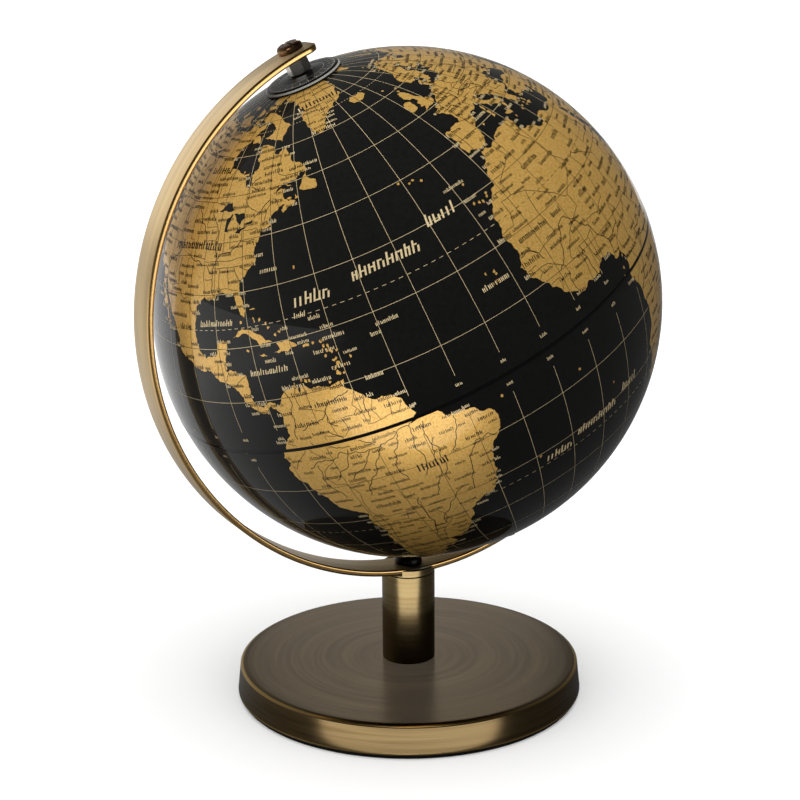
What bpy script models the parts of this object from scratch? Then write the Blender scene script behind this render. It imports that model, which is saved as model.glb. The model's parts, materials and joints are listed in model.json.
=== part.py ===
"""Desktop globe on a half-meridian stand, built as an assembly. Units are metres and +Z is up.

The origin is the centre of the base's resting face. The arm lies in the XZ plane.
The globe turns about an axis that leans towards -X at the top.
"""

import math

import bmesh
import bpy
from mathutils import Matrix, Vector

# Shared clearances.
GAP = 0.0003
RUN_GAP = 0.00006
BOLT_CLEARANCE = 0.0005

# Globe.
GLOBE_RADIUS = 0.125
SHELL_THICKNESS = 0.0025
AXIS_LEAN = math.radians(25.5)
RIB_HALF_WIDTH = 0.0009
RING_HALF_WIDTH = 0.007
RING_THICKNESS = 0.0018
POLE_HOLE_RADIUS = 0.008

# Pole bushes, screws, nuts and the thrust washer. Heights are distances from the globe's centre.
PIN_RADIUS = 0.003
COLLAR_RADIUS = 0.0046
SHOULDER_RISE = 0.0006
COLLAR_RISE = 0.0020
BUSH_FLANGE_RADIUS = 0.012
BUSH_FLANGE_THICKNESS = 0.002
BUSH_HUB_RADIUS = 0.0065
BUSH_HUB_DEPTH = 0.009
PIN_REACH = 0.010
POLE_HEAD_RADIUS = 0.0062
POLE_HEAD_HEIGHT = 0.0038
POLE_HEAD_ROUND = 0.0022
SLOT_WIDTH = 0.0016
SLOT_DEPTH = 0.0018
NUT_ACROSS_FLATS = 0.010
NUT_END_GAP = 0.0006
WASHER_RADIUS = 0.0074

# Hour dial.
DIAL_RADIUS = 0.0189
DIAL_RIM_HEIGHT = 0.0005
DIAL_BEVEL = 0.0014
DIAL_CONE_RADIUS = 0.0108
DIAL_HUB_RADIUS = 0.0068
DIAL_HUB_THICKNESS = 0.0013
DIAL_BALL_GAP = 0.0005

# Meridian arm.
ARM_WIDTH = 0.020
ARM_THICKNESS = 0.003
ARM_BALL_GAP = 0.0099
ARM_OVERHANG = 0.0105
ARM_CORNER = 0.006
ARM_CHAMFER = 0.0004

# Arm screw.
ARM_SCREW_RADIUS = 0.004
ARM_HEAD_RADIUS = 0.007
ARM_HEAD_HEIGHT = 0.0044
ARM_HEAD_CROWN = 0.0038
ARM_HEAD_SHOULDER = 0.00574
ARM_HEAD_SHOULDER_RISE = 0.002728
ARM_HEAD_EDGE = 0.000704
ARM_SCREW_LENGTH = 0.016
SOCKET_ACROSS_FLATS = 0.005
SOCKET_DEPTH = 0.0026

# Post.
POST_RADIUS = 0.0135
POST_WALL = 0.002
POST_RISE = 0.0477
PLUG_LENGTH = 0.014
CAP_WEB = 0.0006

# Base.
BASE_RADIUS = 0.0885
BASE_RIM_RADIUS = 0.0871
BASE_TOP = 0.017
RIM_ROUND_WIDTH = 0.0037
RIM_ROUND_DROP = 0.0014
COVER_THICKNESS = 0.0012
PAD_THICKNESS = 0.002
PAD_INSET = 0.0015
WEIGHT_GAP = 0.001

# Base bolt and washer.
BOLT_RADIUS = 0.004
BOLT_ACROSS_FLATS = 0.013
BOLT_HEAD_HEIGHT = 0.0053
BOLT_REACH = 0.011
COUNTERBORE_RADIUS = 0.013
COUNTERBORE_DEPTH = 0.008
BASE_WASHER_RADIUS = 0.010
BASE_WASHER_THICKNESS = 0.0016

# Facets.
GLOBE_STEPS = 48
GLOBE_RINGS = 12
INNER_RINGS = 10
DISC_STEPS = 64
ROUND_STEPS = 32
HOLE_STEPS = 32
ARM_STEP = math.radians(4.5)
CORNER_STEPS = 4
RIM_STEPS = 5
MERGE_WITHIN = 0.00001
SHARP_ANGLE = math.radians(30)

# A slot's cutter is this many times as long as the radius that it crosses.
SLOT_REACH = 3

# Derived sizes.
ARM_INNER = GLOBE_RADIUS + ARM_BALL_GAP
ARM_OUTER = ARM_INNER + ARM_THICKNESS
SLOT_FLOOR = BASE_TOP + POST_RISE
GLOBE_HEIGHT = SLOT_FLOOR + GAP + ARM_OUTER
EAR_TOP = SLOT_FLOOR + GAP + ARM_THICKNESS
TUBE_FOOT = BASE_TOP + GAP
TUBE_TOP = SLOT_FLOOR - CAP_WEB - GAP
PLUG_RADIUS = POST_RADIUS - POST_WALL - GAP
COVER_FOOT = PAD_THICKNESS + GAP
WEIGHT_TOP = BASE_TOP - COVER_THICKNESS - GAP
COUNTERBORE_SEAT = COVER_FOOT + COUNTERBORE_DEPTH
BOLT_SEAT = COUNTERBORE_SEAT - BASE_WASHER_THICKNESS - 2 * GAP
SHOULDER_TOP = GLOBE_RADIUS + SHOULDER_RISE
COLLAR_TOP = GLOBE_RADIUS + COLLAR_RISE
NUT_BOTTOM = COLLAR_TOP + NUT_END_GAP
NUT_TOP = ARM_INNER - GAP
SHELL_INNER = GLOBE_RADIUS - SHELL_THICKNESS
HEAD_SEAT = ARM_OUTER + GAP
PIN_END = GLOBE_RADIUS - PIN_REACH

CENTRE = Vector((0.0, 0.0, GLOBE_HEIGHT))
NORTH_TURN = Matrix.Rotation(-AXIS_LEAN, 4, "Y")
SOUTH_TURN = Matrix.Rotation(math.pi - AXIS_LEAN, 4, "Y")

# Object names, so that a cutter is never mistaken for a piece.
ASSEMBLY_NAME = "desktop_globe"
CUTTER_NAME = "cutters"


def clear_scene():
    """Remove everything that a new scene starts with."""
    for obj in list(bpy.data.objects):
        bpy.data.objects.remove(obj)
    for collection in list(bpy.data.collections):
        bpy.data.collections.remove(collection)


def new_collection(name):
    """Add a collection to the scene."""
    collection = bpy.data.collections.new(name)
    bpy.context.scene.collection.children.link(collection)
    return collection


def linear(channel):
    """One sRGB channel, 0 to 1, as linear light."""
    if channel <= 0.04045:
        return channel / 12.92
    return ((channel + 0.055) / 1.055) ** 2.4


def new_material(name, colour, metallic, roughness):
    """A Principled material from a hex colour."""
    material = bpy.data.materials.new(name)
    material.use_nodes = True
    shader = material.node_tree.nodes["Principled BSDF"]
    channels = [linear(int(colour[i : i + 2], 16) / 255) for i in (0, 2, 4)]
    shader.inputs["Base Color"].default_value = (*channels, 1.0)
    shader.inputs["Metallic"].default_value = metallic
    shader.inputs["Roughness"].default_value = roughness
    material.diffuse_color = (*channels, 1.0)
    return material


def add_object(name, mesh, collection, material=None):
    """Link a mesh as a new object."""
    obj = bpy.data.objects.new(name, mesh)
    collection.objects.link(obj)
    if material is not None:
        mesh.materials.append(material)
    return obj


def place(obj, turn, centre):
    """Turn an object and put its origin at a point."""
    obj.matrix_world = Matrix.Translation(centre) @ turn
    return obj


def apply_modifiers(obj):
    """Replace an object's mesh with what its modifiers make of it."""
    bpy.context.view_layer.update()
    graph = bpy.context.evaluated_depsgraph_get()
    draft = obj.data
    obj.data = bpy.data.meshes.new_from_object(obj.evaluated_get(graph))
    obj.modifiers.clear()
    bpy.data.meshes.remove(draft)
    obj.data.name = obj.name


def smooth_round(mesh):
    """Shade a mesh smooth, except across its corners."""
    mesh.shade_smooth()
    mesh.set_sharp_from_angle(angle=SHARP_ANGLE)


def turned(name, profile, steps, collection, material=None):
    """A solid of revolution about its own Z axis, from (radius, height) points.

    A profile that starts and ends on the axis stays open there, and any other one is closed.
    """
    mesh = bpy.data.meshes.new(name)
    points = [(radius, 0.0, height) for radius, height in profile]
    count = len(points)
    clear_of_axis = all(radius > 0 for radius, _ in profile)
    edges = [(i, i + 1) for i in range(count - 1)]
    if clear_of_axis:
        edges.append((count - 1, 0))
    mesh.from_pydata(points, edges, [])
    obj = add_object(name, mesh, collection, material)
    screw = obj.modifiers.new("revolve", "SCREW")
    screw.axis = "Z"
    screw.steps = steps
    screw.render_steps = steps
    screw.use_merge_vertices = True
    screw.merge_threshold = MERGE_WITHIN
    apply_modifiers(obj)
    smooth_round(obj.data)
    return obj


def prism(name, sides, radius, low, high, collection, material=None):
    """An upright prism between two heights, with its first corner on +X."""
    mesh = bpy.data.meshes.new(name)
    shape = bmesh.new()
    bmesh.ops.create_cone(
        shape, cap_ends=True, segments=sides, radius1=radius, radius2=radius, depth=high - low
    )
    bmesh.ops.translate(shape, verts=shape.verts, vec=(0.0, 0.0, (high + low) / 2))
    shape.to_mesh(mesh)
    shape.free()
    return add_object(name, mesh, collection, material)


def block(name, size, centre, collection):
    """A box of a given size about a point."""
    mesh = bpy.data.meshes.new(name)
    shape = bmesh.new()
    bmesh.ops.create_cube(shape, size=1.0)
    bmesh.ops.scale(shape, verts=shape.verts, vec=size)
    bmesh.ops.translate(shape, verts=shape.verts, vec=centre)
    shape.to_mesh(mesh)
    shape.free()
    return add_object(name, mesh, collection)


def combine(obj, other, operation):
    """Combine an object with a helper shape, which is kept out of renders."""
    other.hide_render = True
    other.display_type = "WIRE"
    modifier = obj.modifiers.new(other.name, "BOOLEAN")
    modifier.operation = operation
    modifier.solver = "EXACT"
    modifier.object = other


def cut(obj, cutter):
    """Subtract a cutter from an object."""
    combine(obj, cutter, "DIFFERENCE")


def arc(radius, start, stop, count):
    """Points on a circle as (distance from the axis, height), by latitude in radians."""
    angles = [start + (stop - start) * i / count for i in range(count + 1)]
    return [(radius * math.cos(angle), radius * math.sin(angle)) for angle in angles]


def shell_inner_facet():
    """Closest that the faceted inner surface of a shell comes to the globe's centre."""
    return SHELL_INNER * math.cos(math.pi / 4 / INNER_RINGS)


def corner_radius(across_flats):
    """Centre-to-corner radius of a hexagon."""
    return across_flats / math.sqrt(3)


def make_shell(name, turn, assembly, material):
    """One hollow half of the globe, open at the equator and at the pole."""
    edge = RIB_HALF_WIDTH + GAP
    outer_low = math.asin(edge / GLOBE_RADIUS)
    outer_high = math.acos(POLE_HOLE_RADIUS / GLOBE_RADIUS)
    inner_low = math.asin(edge / SHELL_INNER)
    inner_high = math.acos(POLE_HOLE_RADIUS / SHELL_INNER)
    outer = arc(GLOBE_RADIUS, outer_high, outer_low, GLOBE_RINGS)
    inner = arc(SHELL_INNER, inner_low, inner_high, INNER_RINGS)
    shell = turned(name, outer + inner, GLOBE_STEPS, assembly, material)
    return place(shell, turn, CENTRE)


def make_equator_ring(assembly, material):
    """The T-section ring that joins the halves. Its rib shows as the equator line."""
    flange = math.sqrt(shell_inner_facet() ** 2 - RING_HALF_WIDTH**2) - GAP
    inside = flange - RING_THICKNESS
    profile = [
        (GLOBE_RADIUS, RIB_HALF_WIDTH),
        (GLOBE_RADIUS, -RIB_HALF_WIDTH),
        (flange, -RIB_HALF_WIDTH),
        (flange, -RING_HALF_WIDTH),
        (inside, -RING_HALF_WIDTH),
        (inside, RING_HALF_WIDTH),
        (flange, RING_HALF_WIDTH),
        (flange, RIB_HALF_WIDTH),
    ]
    ring = turned("equator_ring", profile, GLOBE_STEPS, assembly, material)
    return place(ring, NORTH_TURN, CENTRE)


def make_bush(name, turn, assembly, material):
    """A pole bush: flange inside the shell, shoulder through its hole, collar above."""
    shoulder = POLE_HOLE_RADIUS - GAP
    flange_top = math.sqrt(shell_inner_facet() ** 2 - BUSH_FLANGE_RADIUS**2) - GAP
    flange_low = flange_top - BUSH_FLANGE_THICKNESS
    hub_low = flange_low - BUSH_HUB_DEPTH
    bore = PIN_RADIUS + RUN_GAP
    profile = [
        (bore, COLLAR_TOP),
        (COLLAR_RADIUS, COLLAR_TOP),
        (COLLAR_RADIUS, SHOULDER_TOP),
        (shoulder, SHOULDER_TOP),
        (shoulder, flange_top),
        (BUSH_FLANGE_RADIUS, flange_top),
        (BUSH_FLANGE_RADIUS, flange_low),
        (BUSH_HUB_RADIUS, flange_low),
        (BUSH_HUB_RADIUS, hub_low),
        (bore, hub_low),
    ]
    bush = turned(name, profile, HOLE_STEPS, assembly, material)
    return place(bush, turn, CENTRE)


def make_thrust_washer(assembly, material):
    """The washer that the globe's weight rests on, between the lower bush and nut."""
    low = SHOULDER_TOP + GAP
    high = NUT_BOTTOM - GAP
    profile = [
        (COLLAR_RADIUS + GAP, high),
        (WASHER_RADIUS, high),
        (WASHER_RADIUS, low),
        (COLLAR_RADIUS + GAP, low),
    ]
    washer = turned("thrust_washer", profile, HOLE_STEPS, assembly, material)
    return place(washer, SOUTH_TURN, CENTRE)


def make_dial(assembly, material):
    """The hour dial: a dished disc that follows the globe and turns on the upper collar."""
    under = GLOBE_RADIUS + DIAL_BALL_GAP
    pocket = POLE_HOLE_RADIUS + GAP
    middle = (DIAL_RADIUS + pocket) / 2
    rim_low = math.sqrt(under**2 - DIAL_RADIUS**2)
    hub_low = SHOULDER_TOP + GAP
    hub_top = hub_low + DIAL_HUB_THICKNESS
    rim_top = rim_low + DIAL_RIM_HEIGHT + DIAL_BEVEL
    cone_top = rim_top + GAP
    bore = COLLAR_RADIUS + RUN_GAP
    profile = [
        (bore, hub_top),
        (DIAL_HUB_RADIUS, hub_top),
        (DIAL_CONE_RADIUS, cone_top),
        (DIAL_RADIUS - DIAL_BEVEL, rim_top),
        (DIAL_RADIUS, rim_low + DIAL_RIM_HEIGHT),
        (DIAL_RADIUS, rim_low),
        (middle, math.sqrt(under**2 - middle**2)),
        (pocket, math.sqrt(under**2 - pocket**2)),
        (pocket, hub_low),
        (bore, hub_low),
    ]
    dial = turned("hour_dial", profile, GLOBE_STEPS, assembly, material)
    return place(dial, NORTH_TURN, CENTRE)


def make_pole_screw(name, turn, assembly, cutters, material):
    """A slotted pan-head screw through the arm, whose shank is the globe's pivot."""
    top = HEAD_SEAT + POLE_HEAD_HEIGHT
    inset = POLE_HEAD_ROUND * (1 - math.cos(math.pi / 4))
    profile = [
        (0.0, top),
        (POLE_HEAD_RADIUS - POLE_HEAD_ROUND, top),
        (POLE_HEAD_RADIUS - inset, top - inset),
        (POLE_HEAD_RADIUS, top - POLE_HEAD_ROUND),
        (POLE_HEAD_RADIUS, HEAD_SEAT),
        (PIN_RADIUS, HEAD_SEAT),
        (PIN_RADIUS, PIN_END),
        (0.0, PIN_END),
    ]
    screw = turned(name, profile, HOLE_STEPS, assembly, material)
    size = (SLOT_WIDTH, SLOT_REACH * POLE_HEAD_RADIUS, 2 * SLOT_DEPTH)
    slot = block(name + "_slot", size, (0.0, 0.0, top), cutters)
    place(slot, turn, CENTRE)
    cut(screw, slot)
    return place(screw, turn, CENTRE)


def make_pole_nut(name, turn, assembly, cutters, material):
    """The long hexagon nut that clamps a pole screw to the arm."""
    radius = corner_radius(NUT_ACROSS_FLATS)
    nut = prism(name, 6, radius, NUT_BOTTOM, NUT_TOP, assembly, material)
    bore = prism(
        name + "_bore", HOLE_STEPS, PIN_RADIUS + GAP, PIN_END, HEAD_SEAT, cutters
    )
    place(bore, turn, CENTRE)
    cut(nut, bore)
    return place(nut, turn, CENTRE)


def arm_half_width(distance):
    """Half the strip's width at a distance from its nearer end."""
    full = ARM_WIDTH / 2
    if distance >= ARM_CORNER:
        return full
    reach = ARM_CORNER - distance
    return full - ARM_CORNER + math.sqrt(ARM_CORNER**2 - reach**2)


def arm_stations():
    """Angles along the strip from its upper end to its lower end, closer together at the rounded corners."""
    start = math.pi / 2 + AXIS_LEAN - ARM_OVERHANG / ARM_OUTER
    stop = 3 * math.pi / 2 + AXIS_LEAN + ARM_OVERHANG / ARM_OUTER
    corner = ARM_CORNER / ARM_OUTER
    offsets = [
        corner * (1 - math.cos(math.pi / 2 * i / CORNER_STEPS)) for i in range(CORNER_STEPS)
    ]
    count = round((stop - start - 2 * corner) / ARM_STEP)
    middle = [
        start + corner + (stop - start - 2 * corner) * i / count for i in range(count + 1)
    ]
    head = [start + offset for offset in offsets]
    tail = [stop - offset for offset in reversed(offsets)]
    return head + middle + tail, start, stop


def arm_section(angle, half):
    """The strip's chamfered cross-section at one angle."""
    soft = ARM_CHAMFER
    across = [
        (ARM_OUTER, -half + soft),
        (ARM_OUTER - soft, -half),
        (ARM_INNER + soft, -half),
        (ARM_INNER, -half + soft),
        (ARM_INNER, half - soft),
        (ARM_INNER + soft, half),
        (ARM_OUTER - soft, half),
        (ARM_OUTER, half - soft),
    ]
    return [(r * math.cos(angle), y, r * math.sin(angle)) for r, y in across]


def make_arm(assembly, cutters, material):
    """The half-circle strip that carries the globe, with its three screw holes."""
    angles, start, stop = arm_stations()
    shape = bmesh.new()
    rings = []
    for angle in angles:
        distance = min(angle - start, stop - angle) * ARM_OUTER
        section = arm_section(angle, arm_half_width(max(distance, 0.0)))
        rings.append([shape.verts.new(point) for point in section])
    for first, second in zip(rings, rings[1:]):
        for i in range(len(first)):
            j = (i + 1) % len(first)
            shape.faces.new((first[i], first[j], second[j], second[i]))
    shape.faces.new(rings[0])
    shape.faces.new(rings[-1])
    bmesh.ops.recalc_face_normals(shape, faces=shape.faces)
    mesh = bpy.data.meshes.new("meridian_arm")
    shape.to_mesh(mesh)
    shape.free()
    smooth_round(mesh)
    arm = add_object("meridian_arm", mesh, assembly, material)
    arm.matrix_world = Matrix.Translation(CENTRE)
    low = ARM_INNER - ARM_THICKNESS
    high = ARM_OUTER + ARM_THICKNESS
    for label, turn in (("north", NORTH_TURN), ("south", SOUTH_TURN)):
        hole = prism("arm_hole_" + label, HOLE_STEPS, PIN_RADIUS + GAP, low, high, cutters)
        place(hole, turn, CENTRE)
        cut(arm, hole)
    radius = ARM_SCREW_RADIUS + BOLT_CLEARANCE
    hole = prism("arm_hole_foot", HOLE_STEPS, radius, -high, -low, cutters)
    hole.location = CENTRE
    cut(arm, hole)
    return arm


def make_arm_screw(assembly, cutters, material):
    """The button-head screw that fixes the arm to the top of the post."""
    seat = EAR_TOP + GAP
    top = seat + ARM_HEAD_HEIGHT
    profile = [
        (0.0, top),
        (ARM_HEAD_CROWN, top),
        (ARM_HEAD_SHOULDER, seat + ARM_HEAD_SHOULDER_RISE),
        (ARM_HEAD_RADIUS, seat + ARM_HEAD_EDGE),
        (ARM_HEAD_RADIUS, seat),
        (ARM_SCREW_RADIUS, seat),
        (ARM_SCREW_RADIUS, seat - ARM_SCREW_LENGTH),
        (0.0, seat - ARM_SCREW_LENGTH),
    ]
    screw = turned("arm_screw", profile, HOLE_STEPS, assembly, material)
    radius = corner_radius(SOCKET_ACROSS_FLATS)
    socket = prism("arm_screw_socket", 6, radius, top - SOCKET_DEPTH, top + SOCKET_DEPTH, cutters)
    cut(screw, socket)
    return screw


def make_post_cap(assembly, cutters, material):
    """The plug at the top of the post, slotted so that two ears hold the arm."""
    flange_low = SLOT_FLOOR - CAP_WEB
    bore = ARM_SCREW_RADIUS + GAP
    profile = [
        (bore, EAR_TOP),
        (POST_RADIUS, EAR_TOP),
        (POST_RADIUS, flange_low),
        (PLUG_RADIUS, flange_low),
        (PLUG_RADIUS, flange_low - PLUG_LENGTH),
        (bore, flange_low - PLUG_LENGTH),
    ]
    cap = turned("post_cap", profile, ROUND_STEPS, assembly, material)
    height = 2 * (EAR_TOP - SLOT_FLOOR)
    size = (SLOT_REACH * POST_RADIUS, ARM_WIDTH + 2 * GAP, height)
    slot = block("post_cap_slot", size, (0.0, 0.0, SLOT_FLOOR + height / 2), cutters)
    cut(cap, slot)
    return cap


def make_post_tube(assembly, material):
    """The post's outer tube."""
    inside = POST_RADIUS - POST_WALL
    profile = [
        (inside, TUBE_TOP),
        (POST_RADIUS, TUBE_TOP),
        (POST_RADIUS, TUBE_FOOT),
        (inside, TUBE_FOOT),
    ]
    return turned("post_tube", profile, ROUND_STEPS, assembly, material)


def make_post_foot(assembly, material):
    """The plug at the foot of the post, which the base bolt screws into."""
    bore = BOLT_RADIUS + GAP
    top = TUBE_FOOT + PLUG_LENGTH
    profile = [
        (bore, top),
        (PLUG_RADIUS, top),
        (PLUG_RADIUS, TUBE_FOOT),
        (bore, TUBE_FOOT),
    ]
    return turned("post_foot", profile, ROUND_STEPS, assembly, material)


def rim_points(inset):
    """The rounded shoulder of the cover from its flat top outwards and down, moved in by an inset."""
    points = []
    for i in range(RIM_STEPS + 1):
        angle = math.pi / 2 * (1 - i / RIM_STEPS)
        radius = BASE_RIM_RADIUS - RIM_ROUND_WIDTH + (RIM_ROUND_WIDTH - inset) * math.cos(angle)
        height = BASE_TOP - RIM_ROUND_DROP + (RIM_ROUND_DROP - inset) * math.sin(angle)
        points.append((radius, height))
    return points


def make_base_cover(assembly, material):
    """The spun sheet cover: flat top, rounded rim and a side that widens a little downwards."""
    inner_wall = BASE_RADIUS - COVER_THICKNESS
    inner_rim = BASE_RIM_RADIUS - COVER_THICKNESS
    inner_top = BASE_TOP - COVER_THICKNESS
    hole = BOLT_RADIUS + BOLT_CLEARANCE
    profile = [(hole, BASE_TOP)]
    profile += rim_points(0.0)
    profile += [
        (BASE_RADIUS, COVER_FOOT),
        (inner_wall, COVER_FOOT),
        (inner_rim, BASE_TOP - RIM_ROUND_DROP - COVER_THICKNESS),
        (BASE_RIM_RADIUS - RIM_ROUND_WIDTH, inner_top),
        (hole, inner_top),
    ]
    return turned("base_cover", profile, DISC_STEPS, assembly, material)


def make_base_weight(assembly, material):
    """The heavy disc inside the cover, counterbored for the bolt head."""
    radius = BASE_RIM_RADIUS - RIM_ROUND_WIDTH - WEIGHT_GAP
    hole = BOLT_RADIUS + BOLT_CLEARANCE
    profile = [
        (hole, WEIGHT_TOP),
        (radius, WEIGHT_TOP),
        (radius, COVER_FOOT),
        (COUNTERBORE_RADIUS, COVER_FOOT),
        (COUNTERBORE_RADIUS, COUNTERBORE_SEAT),
        (hole, COUNTERBORE_SEAT),
    ]
    return turned("base_weight", profile, ROUND_STEPS, assembly, material)


def make_base_washer(assembly, material):
    """The washer under the bolt head."""
    top = COUNTERBORE_SEAT - GAP
    low = top - BASE_WASHER_THICKNESS
    hole = BOLT_RADIUS + BOLT_CLEARANCE
    profile = [
        (hole, top),
        (BASE_WASHER_RADIUS, top),
        (BASE_WASHER_RADIUS, low),
        (hole, low),
    ]
    return turned("base_washer", profile, HOLE_STEPS, assembly, material)


def make_base_bolt(assembly, cutters, material):
    """The hexagon bolt that draws the base up to the post."""
    head_low = BOLT_SEAT - BOLT_HEAD_HEIGHT
    head_radius = corner_radius(BOLT_ACROSS_FLATS)
    bolt = prism("base_bolt", 6, head_radius, head_low, BOLT_SEAT, assembly, material)
    overlap = BOLT_HEAD_HEIGHT / 2
    top = TUBE_FOOT + BOLT_REACH
    shank = prism(
        "base_bolt_shank", HOLE_STEPS, BOLT_RADIUS, BOLT_SEAT - overlap, top, cutters
    )
    combine(bolt, shank, "UNION")
    return bolt


def make_base_pad(assembly, material):
    """The full-width pad that the globe stands on."""
    radius = BASE_RADIUS - PAD_INSET
    profile = [
        (0.0, PAD_THICKNESS),
        (radius, PAD_THICKNESS),
        (radius, 0.0),
        (0.0, 0.0),
    ]
    return turned("base_pad", profile, DISC_STEPS, assembly, material)


def make_globe(assembly):
    """The pieces that spin about the leaning axis."""
    ocean = "1B1B1B"
    make_shell("ball_north", NORTH_TURN, assembly, new_material("gloss shell north", ocean, 0, 0.1))
    make_shell("ball_south", SOUTH_TURN, assembly, new_material("gloss shell south", ocean, 0, 0.1))
    make_equator_ring(assembly, new_material("black joining ring", "101010", 0, 0.2))
    nylon = new_material("dark nylon bush north", "2A2A2A", 0, 0.5)
    make_bush("pole_bush_north", NORTH_TURN, assembly, nylon)
    nylon = new_material("dark nylon bush south", "2A2A2A", 0, 0.5)
    make_bush("pole_bush_south", SOUTH_TURN, assembly, nylon)
    make_dial(assembly, new_material("dark dial", "26262A", 0, 0.3))


def make_pivots(assembly, cutters):
    """The screws, nuts and washer at the two poles."""
    screw = new_material("bronzed screw north", "6A4D34", 1, 0.35)
    make_pole_screw("pole_screw_north", NORTH_TURN, assembly, cutters, screw)
    screw = new_material("bronzed screw south", "6A4D34", 1, 0.35)
    make_pole_screw("pole_screw_south", SOUTH_TURN, assembly, cutters, screw)
    nut = new_material("nickel nut north", "A8A8A4", 1, 0.2)
    make_pole_nut("pole_nut_north", NORTH_TURN, assembly, cutters, nut)
    nut = new_material("nickel nut south", "A8A8A4", 1, 0.2)
    make_pole_nut("pole_nut_south", SOUTH_TURN, assembly, cutters, nut)
    make_thrust_washer(assembly, new_material("white nylon washer", "D8D4C8", 0, 0.5))


def make_stand(assembly, cutters):
    """The arm, post and base."""
    make_arm(assembly, cutters, new_material("brushed antique brass arm", "A8976E", 1, 0.35))
    make_arm_screw(assembly, cutters, new_material("black button screw", "141414", 1, 0.4))
    make_post_cap(assembly, cutters, new_material("brass cap", "9A8B68", 1, 0.3))
    make_post_tube(assembly, new_material("brushed antique brass tube", "857A62", 1, 0.3))
    make_post_foot(assembly, new_material("steel plug", "8C8C88", 1, 0.4))
    make_base_cover(assembly, new_material("brushed antique brass cover", "6B5F48", 1, 0.35))
    make_base_weight(assembly, new_material("cast iron weight", "3A3A3A", 1, 0.7))
    make_base_washer(assembly, new_material("zinc washer", "B0B0AA", 1, 0.3))
    make_base_bolt(assembly, cutters, new_material("zinc bolt", "A8A8A2", 1, 0.3))
    make_base_pad(assembly, new_material("black foam pad", "181818", 0, 0.9))


def main():
    """Build the whole assembly."""
    clear_scene()
    assembly = new_collection(ASSEMBLY_NAME)
    cutters = new_collection(CUTTER_NAME)
    cutters.hide_render = True
    make_stand(assembly, cutters)
    make_globe(assembly)
    make_pivots(assembly, cutters)
    bpy.context.view_layer.update()


main()
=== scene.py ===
"""The looks of a desktop globe on a half-meridian stand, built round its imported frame.

Every length is in metres and every piece is a surface worked out with whole arrays.
"""

import sys
import json
import logging
import math
from dataclasses import dataclass, field
from enum import Enum
from typing import Any, Sequence

import bmesh
import bpy
import numpy as np
from mathutils import Matrix, Vector
from mathutils.geometry import delaunay_2d_cdt

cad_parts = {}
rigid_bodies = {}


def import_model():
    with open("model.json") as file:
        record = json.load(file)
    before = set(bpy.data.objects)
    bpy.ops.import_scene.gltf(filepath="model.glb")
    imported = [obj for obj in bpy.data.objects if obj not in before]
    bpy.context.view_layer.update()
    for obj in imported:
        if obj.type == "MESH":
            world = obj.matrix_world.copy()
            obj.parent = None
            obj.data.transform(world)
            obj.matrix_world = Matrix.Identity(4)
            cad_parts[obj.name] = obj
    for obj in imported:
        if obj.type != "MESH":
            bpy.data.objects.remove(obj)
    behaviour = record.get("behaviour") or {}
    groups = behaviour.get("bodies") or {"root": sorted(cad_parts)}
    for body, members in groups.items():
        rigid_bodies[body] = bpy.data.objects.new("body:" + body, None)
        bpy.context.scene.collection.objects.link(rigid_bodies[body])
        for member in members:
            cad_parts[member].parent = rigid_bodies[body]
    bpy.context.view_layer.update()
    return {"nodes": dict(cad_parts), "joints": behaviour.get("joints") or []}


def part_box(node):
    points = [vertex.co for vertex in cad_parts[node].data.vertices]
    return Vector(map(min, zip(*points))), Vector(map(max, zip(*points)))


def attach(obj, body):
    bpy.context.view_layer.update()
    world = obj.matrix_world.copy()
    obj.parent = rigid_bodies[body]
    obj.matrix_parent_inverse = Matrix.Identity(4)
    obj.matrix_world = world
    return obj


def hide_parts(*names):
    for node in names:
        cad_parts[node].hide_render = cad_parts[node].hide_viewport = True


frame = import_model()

LOG = logging.getLogger("globe")
MM = 0.001
TURN = 2 * math.pi
WELD = 1e-7
HAIR = 0.00003
# Widths of printed lines on the ball, in degrees of it.
BORDER_DEG, RIVER_DEG, NET_DEG, TROPIC_DEG = 0.10, 0.15, 0.085, 0.095

# ---------------------------------------------------------------- colour and shader helpers


def linear(hex_colour: str) -> tuple[float, float, float, float]:
    """Turn an sRGB hex colour into linear light.

    Args:
        hex_colour: Six hex digits.

    Returns:
        Red, green, blue and an alpha of one.
    """
    channels = np.array([int(hex_colour[i : i + 2], 16) / 255 for i in (0, 2, 4)])
    low = channels / 12.92
    high = ((channels + 0.055) / 1.055) ** 2.4
    return (*np.where(channels <= 0.04045, low, high).tolist(), 1.0)


def add_node(
    tree: bpy.types.NodeTree,
    kind: str,
    inputs: dict[Any, Any] | None = None,
    **settings: Any,
) -> bpy.types.Node:
    """Add a shader node with its settings and links.

    Args:
        tree: The node tree that takes the node.
        kind: The node's type name.
        inputs: Values or output sockets for its input sockets, by name or number.
        settings: Attributes of the node itself.

    Returns:
        The new node.
    """
    made = tree.nodes.new(kind)
    for name, value in settings.items():
        setattr(made, name, value)
    for name, value in (inputs or {}).items():
        if isinstance(value, bpy.types.NodeSocket):
            tree.links.new(value, made.inputs[name])
        else:
            made.inputs[name].default_value = value
    return made


def calculate(tree: bpy.types.NodeTree, operation: str, *values: Any) -> bpy.types.NodeSocket:
    """Add one Math node.

    Args:
        tree: The node tree that takes the node.
        operation: The sum that it does.
        values: Its inputs, as numbers or sockets.

    Returns:
        The socket that holds the answer.
    """
    made = add_node(tree, "ShaderNodeMath", dict(enumerate(values)), operation=operation)
    return made.outputs[0]


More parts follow.
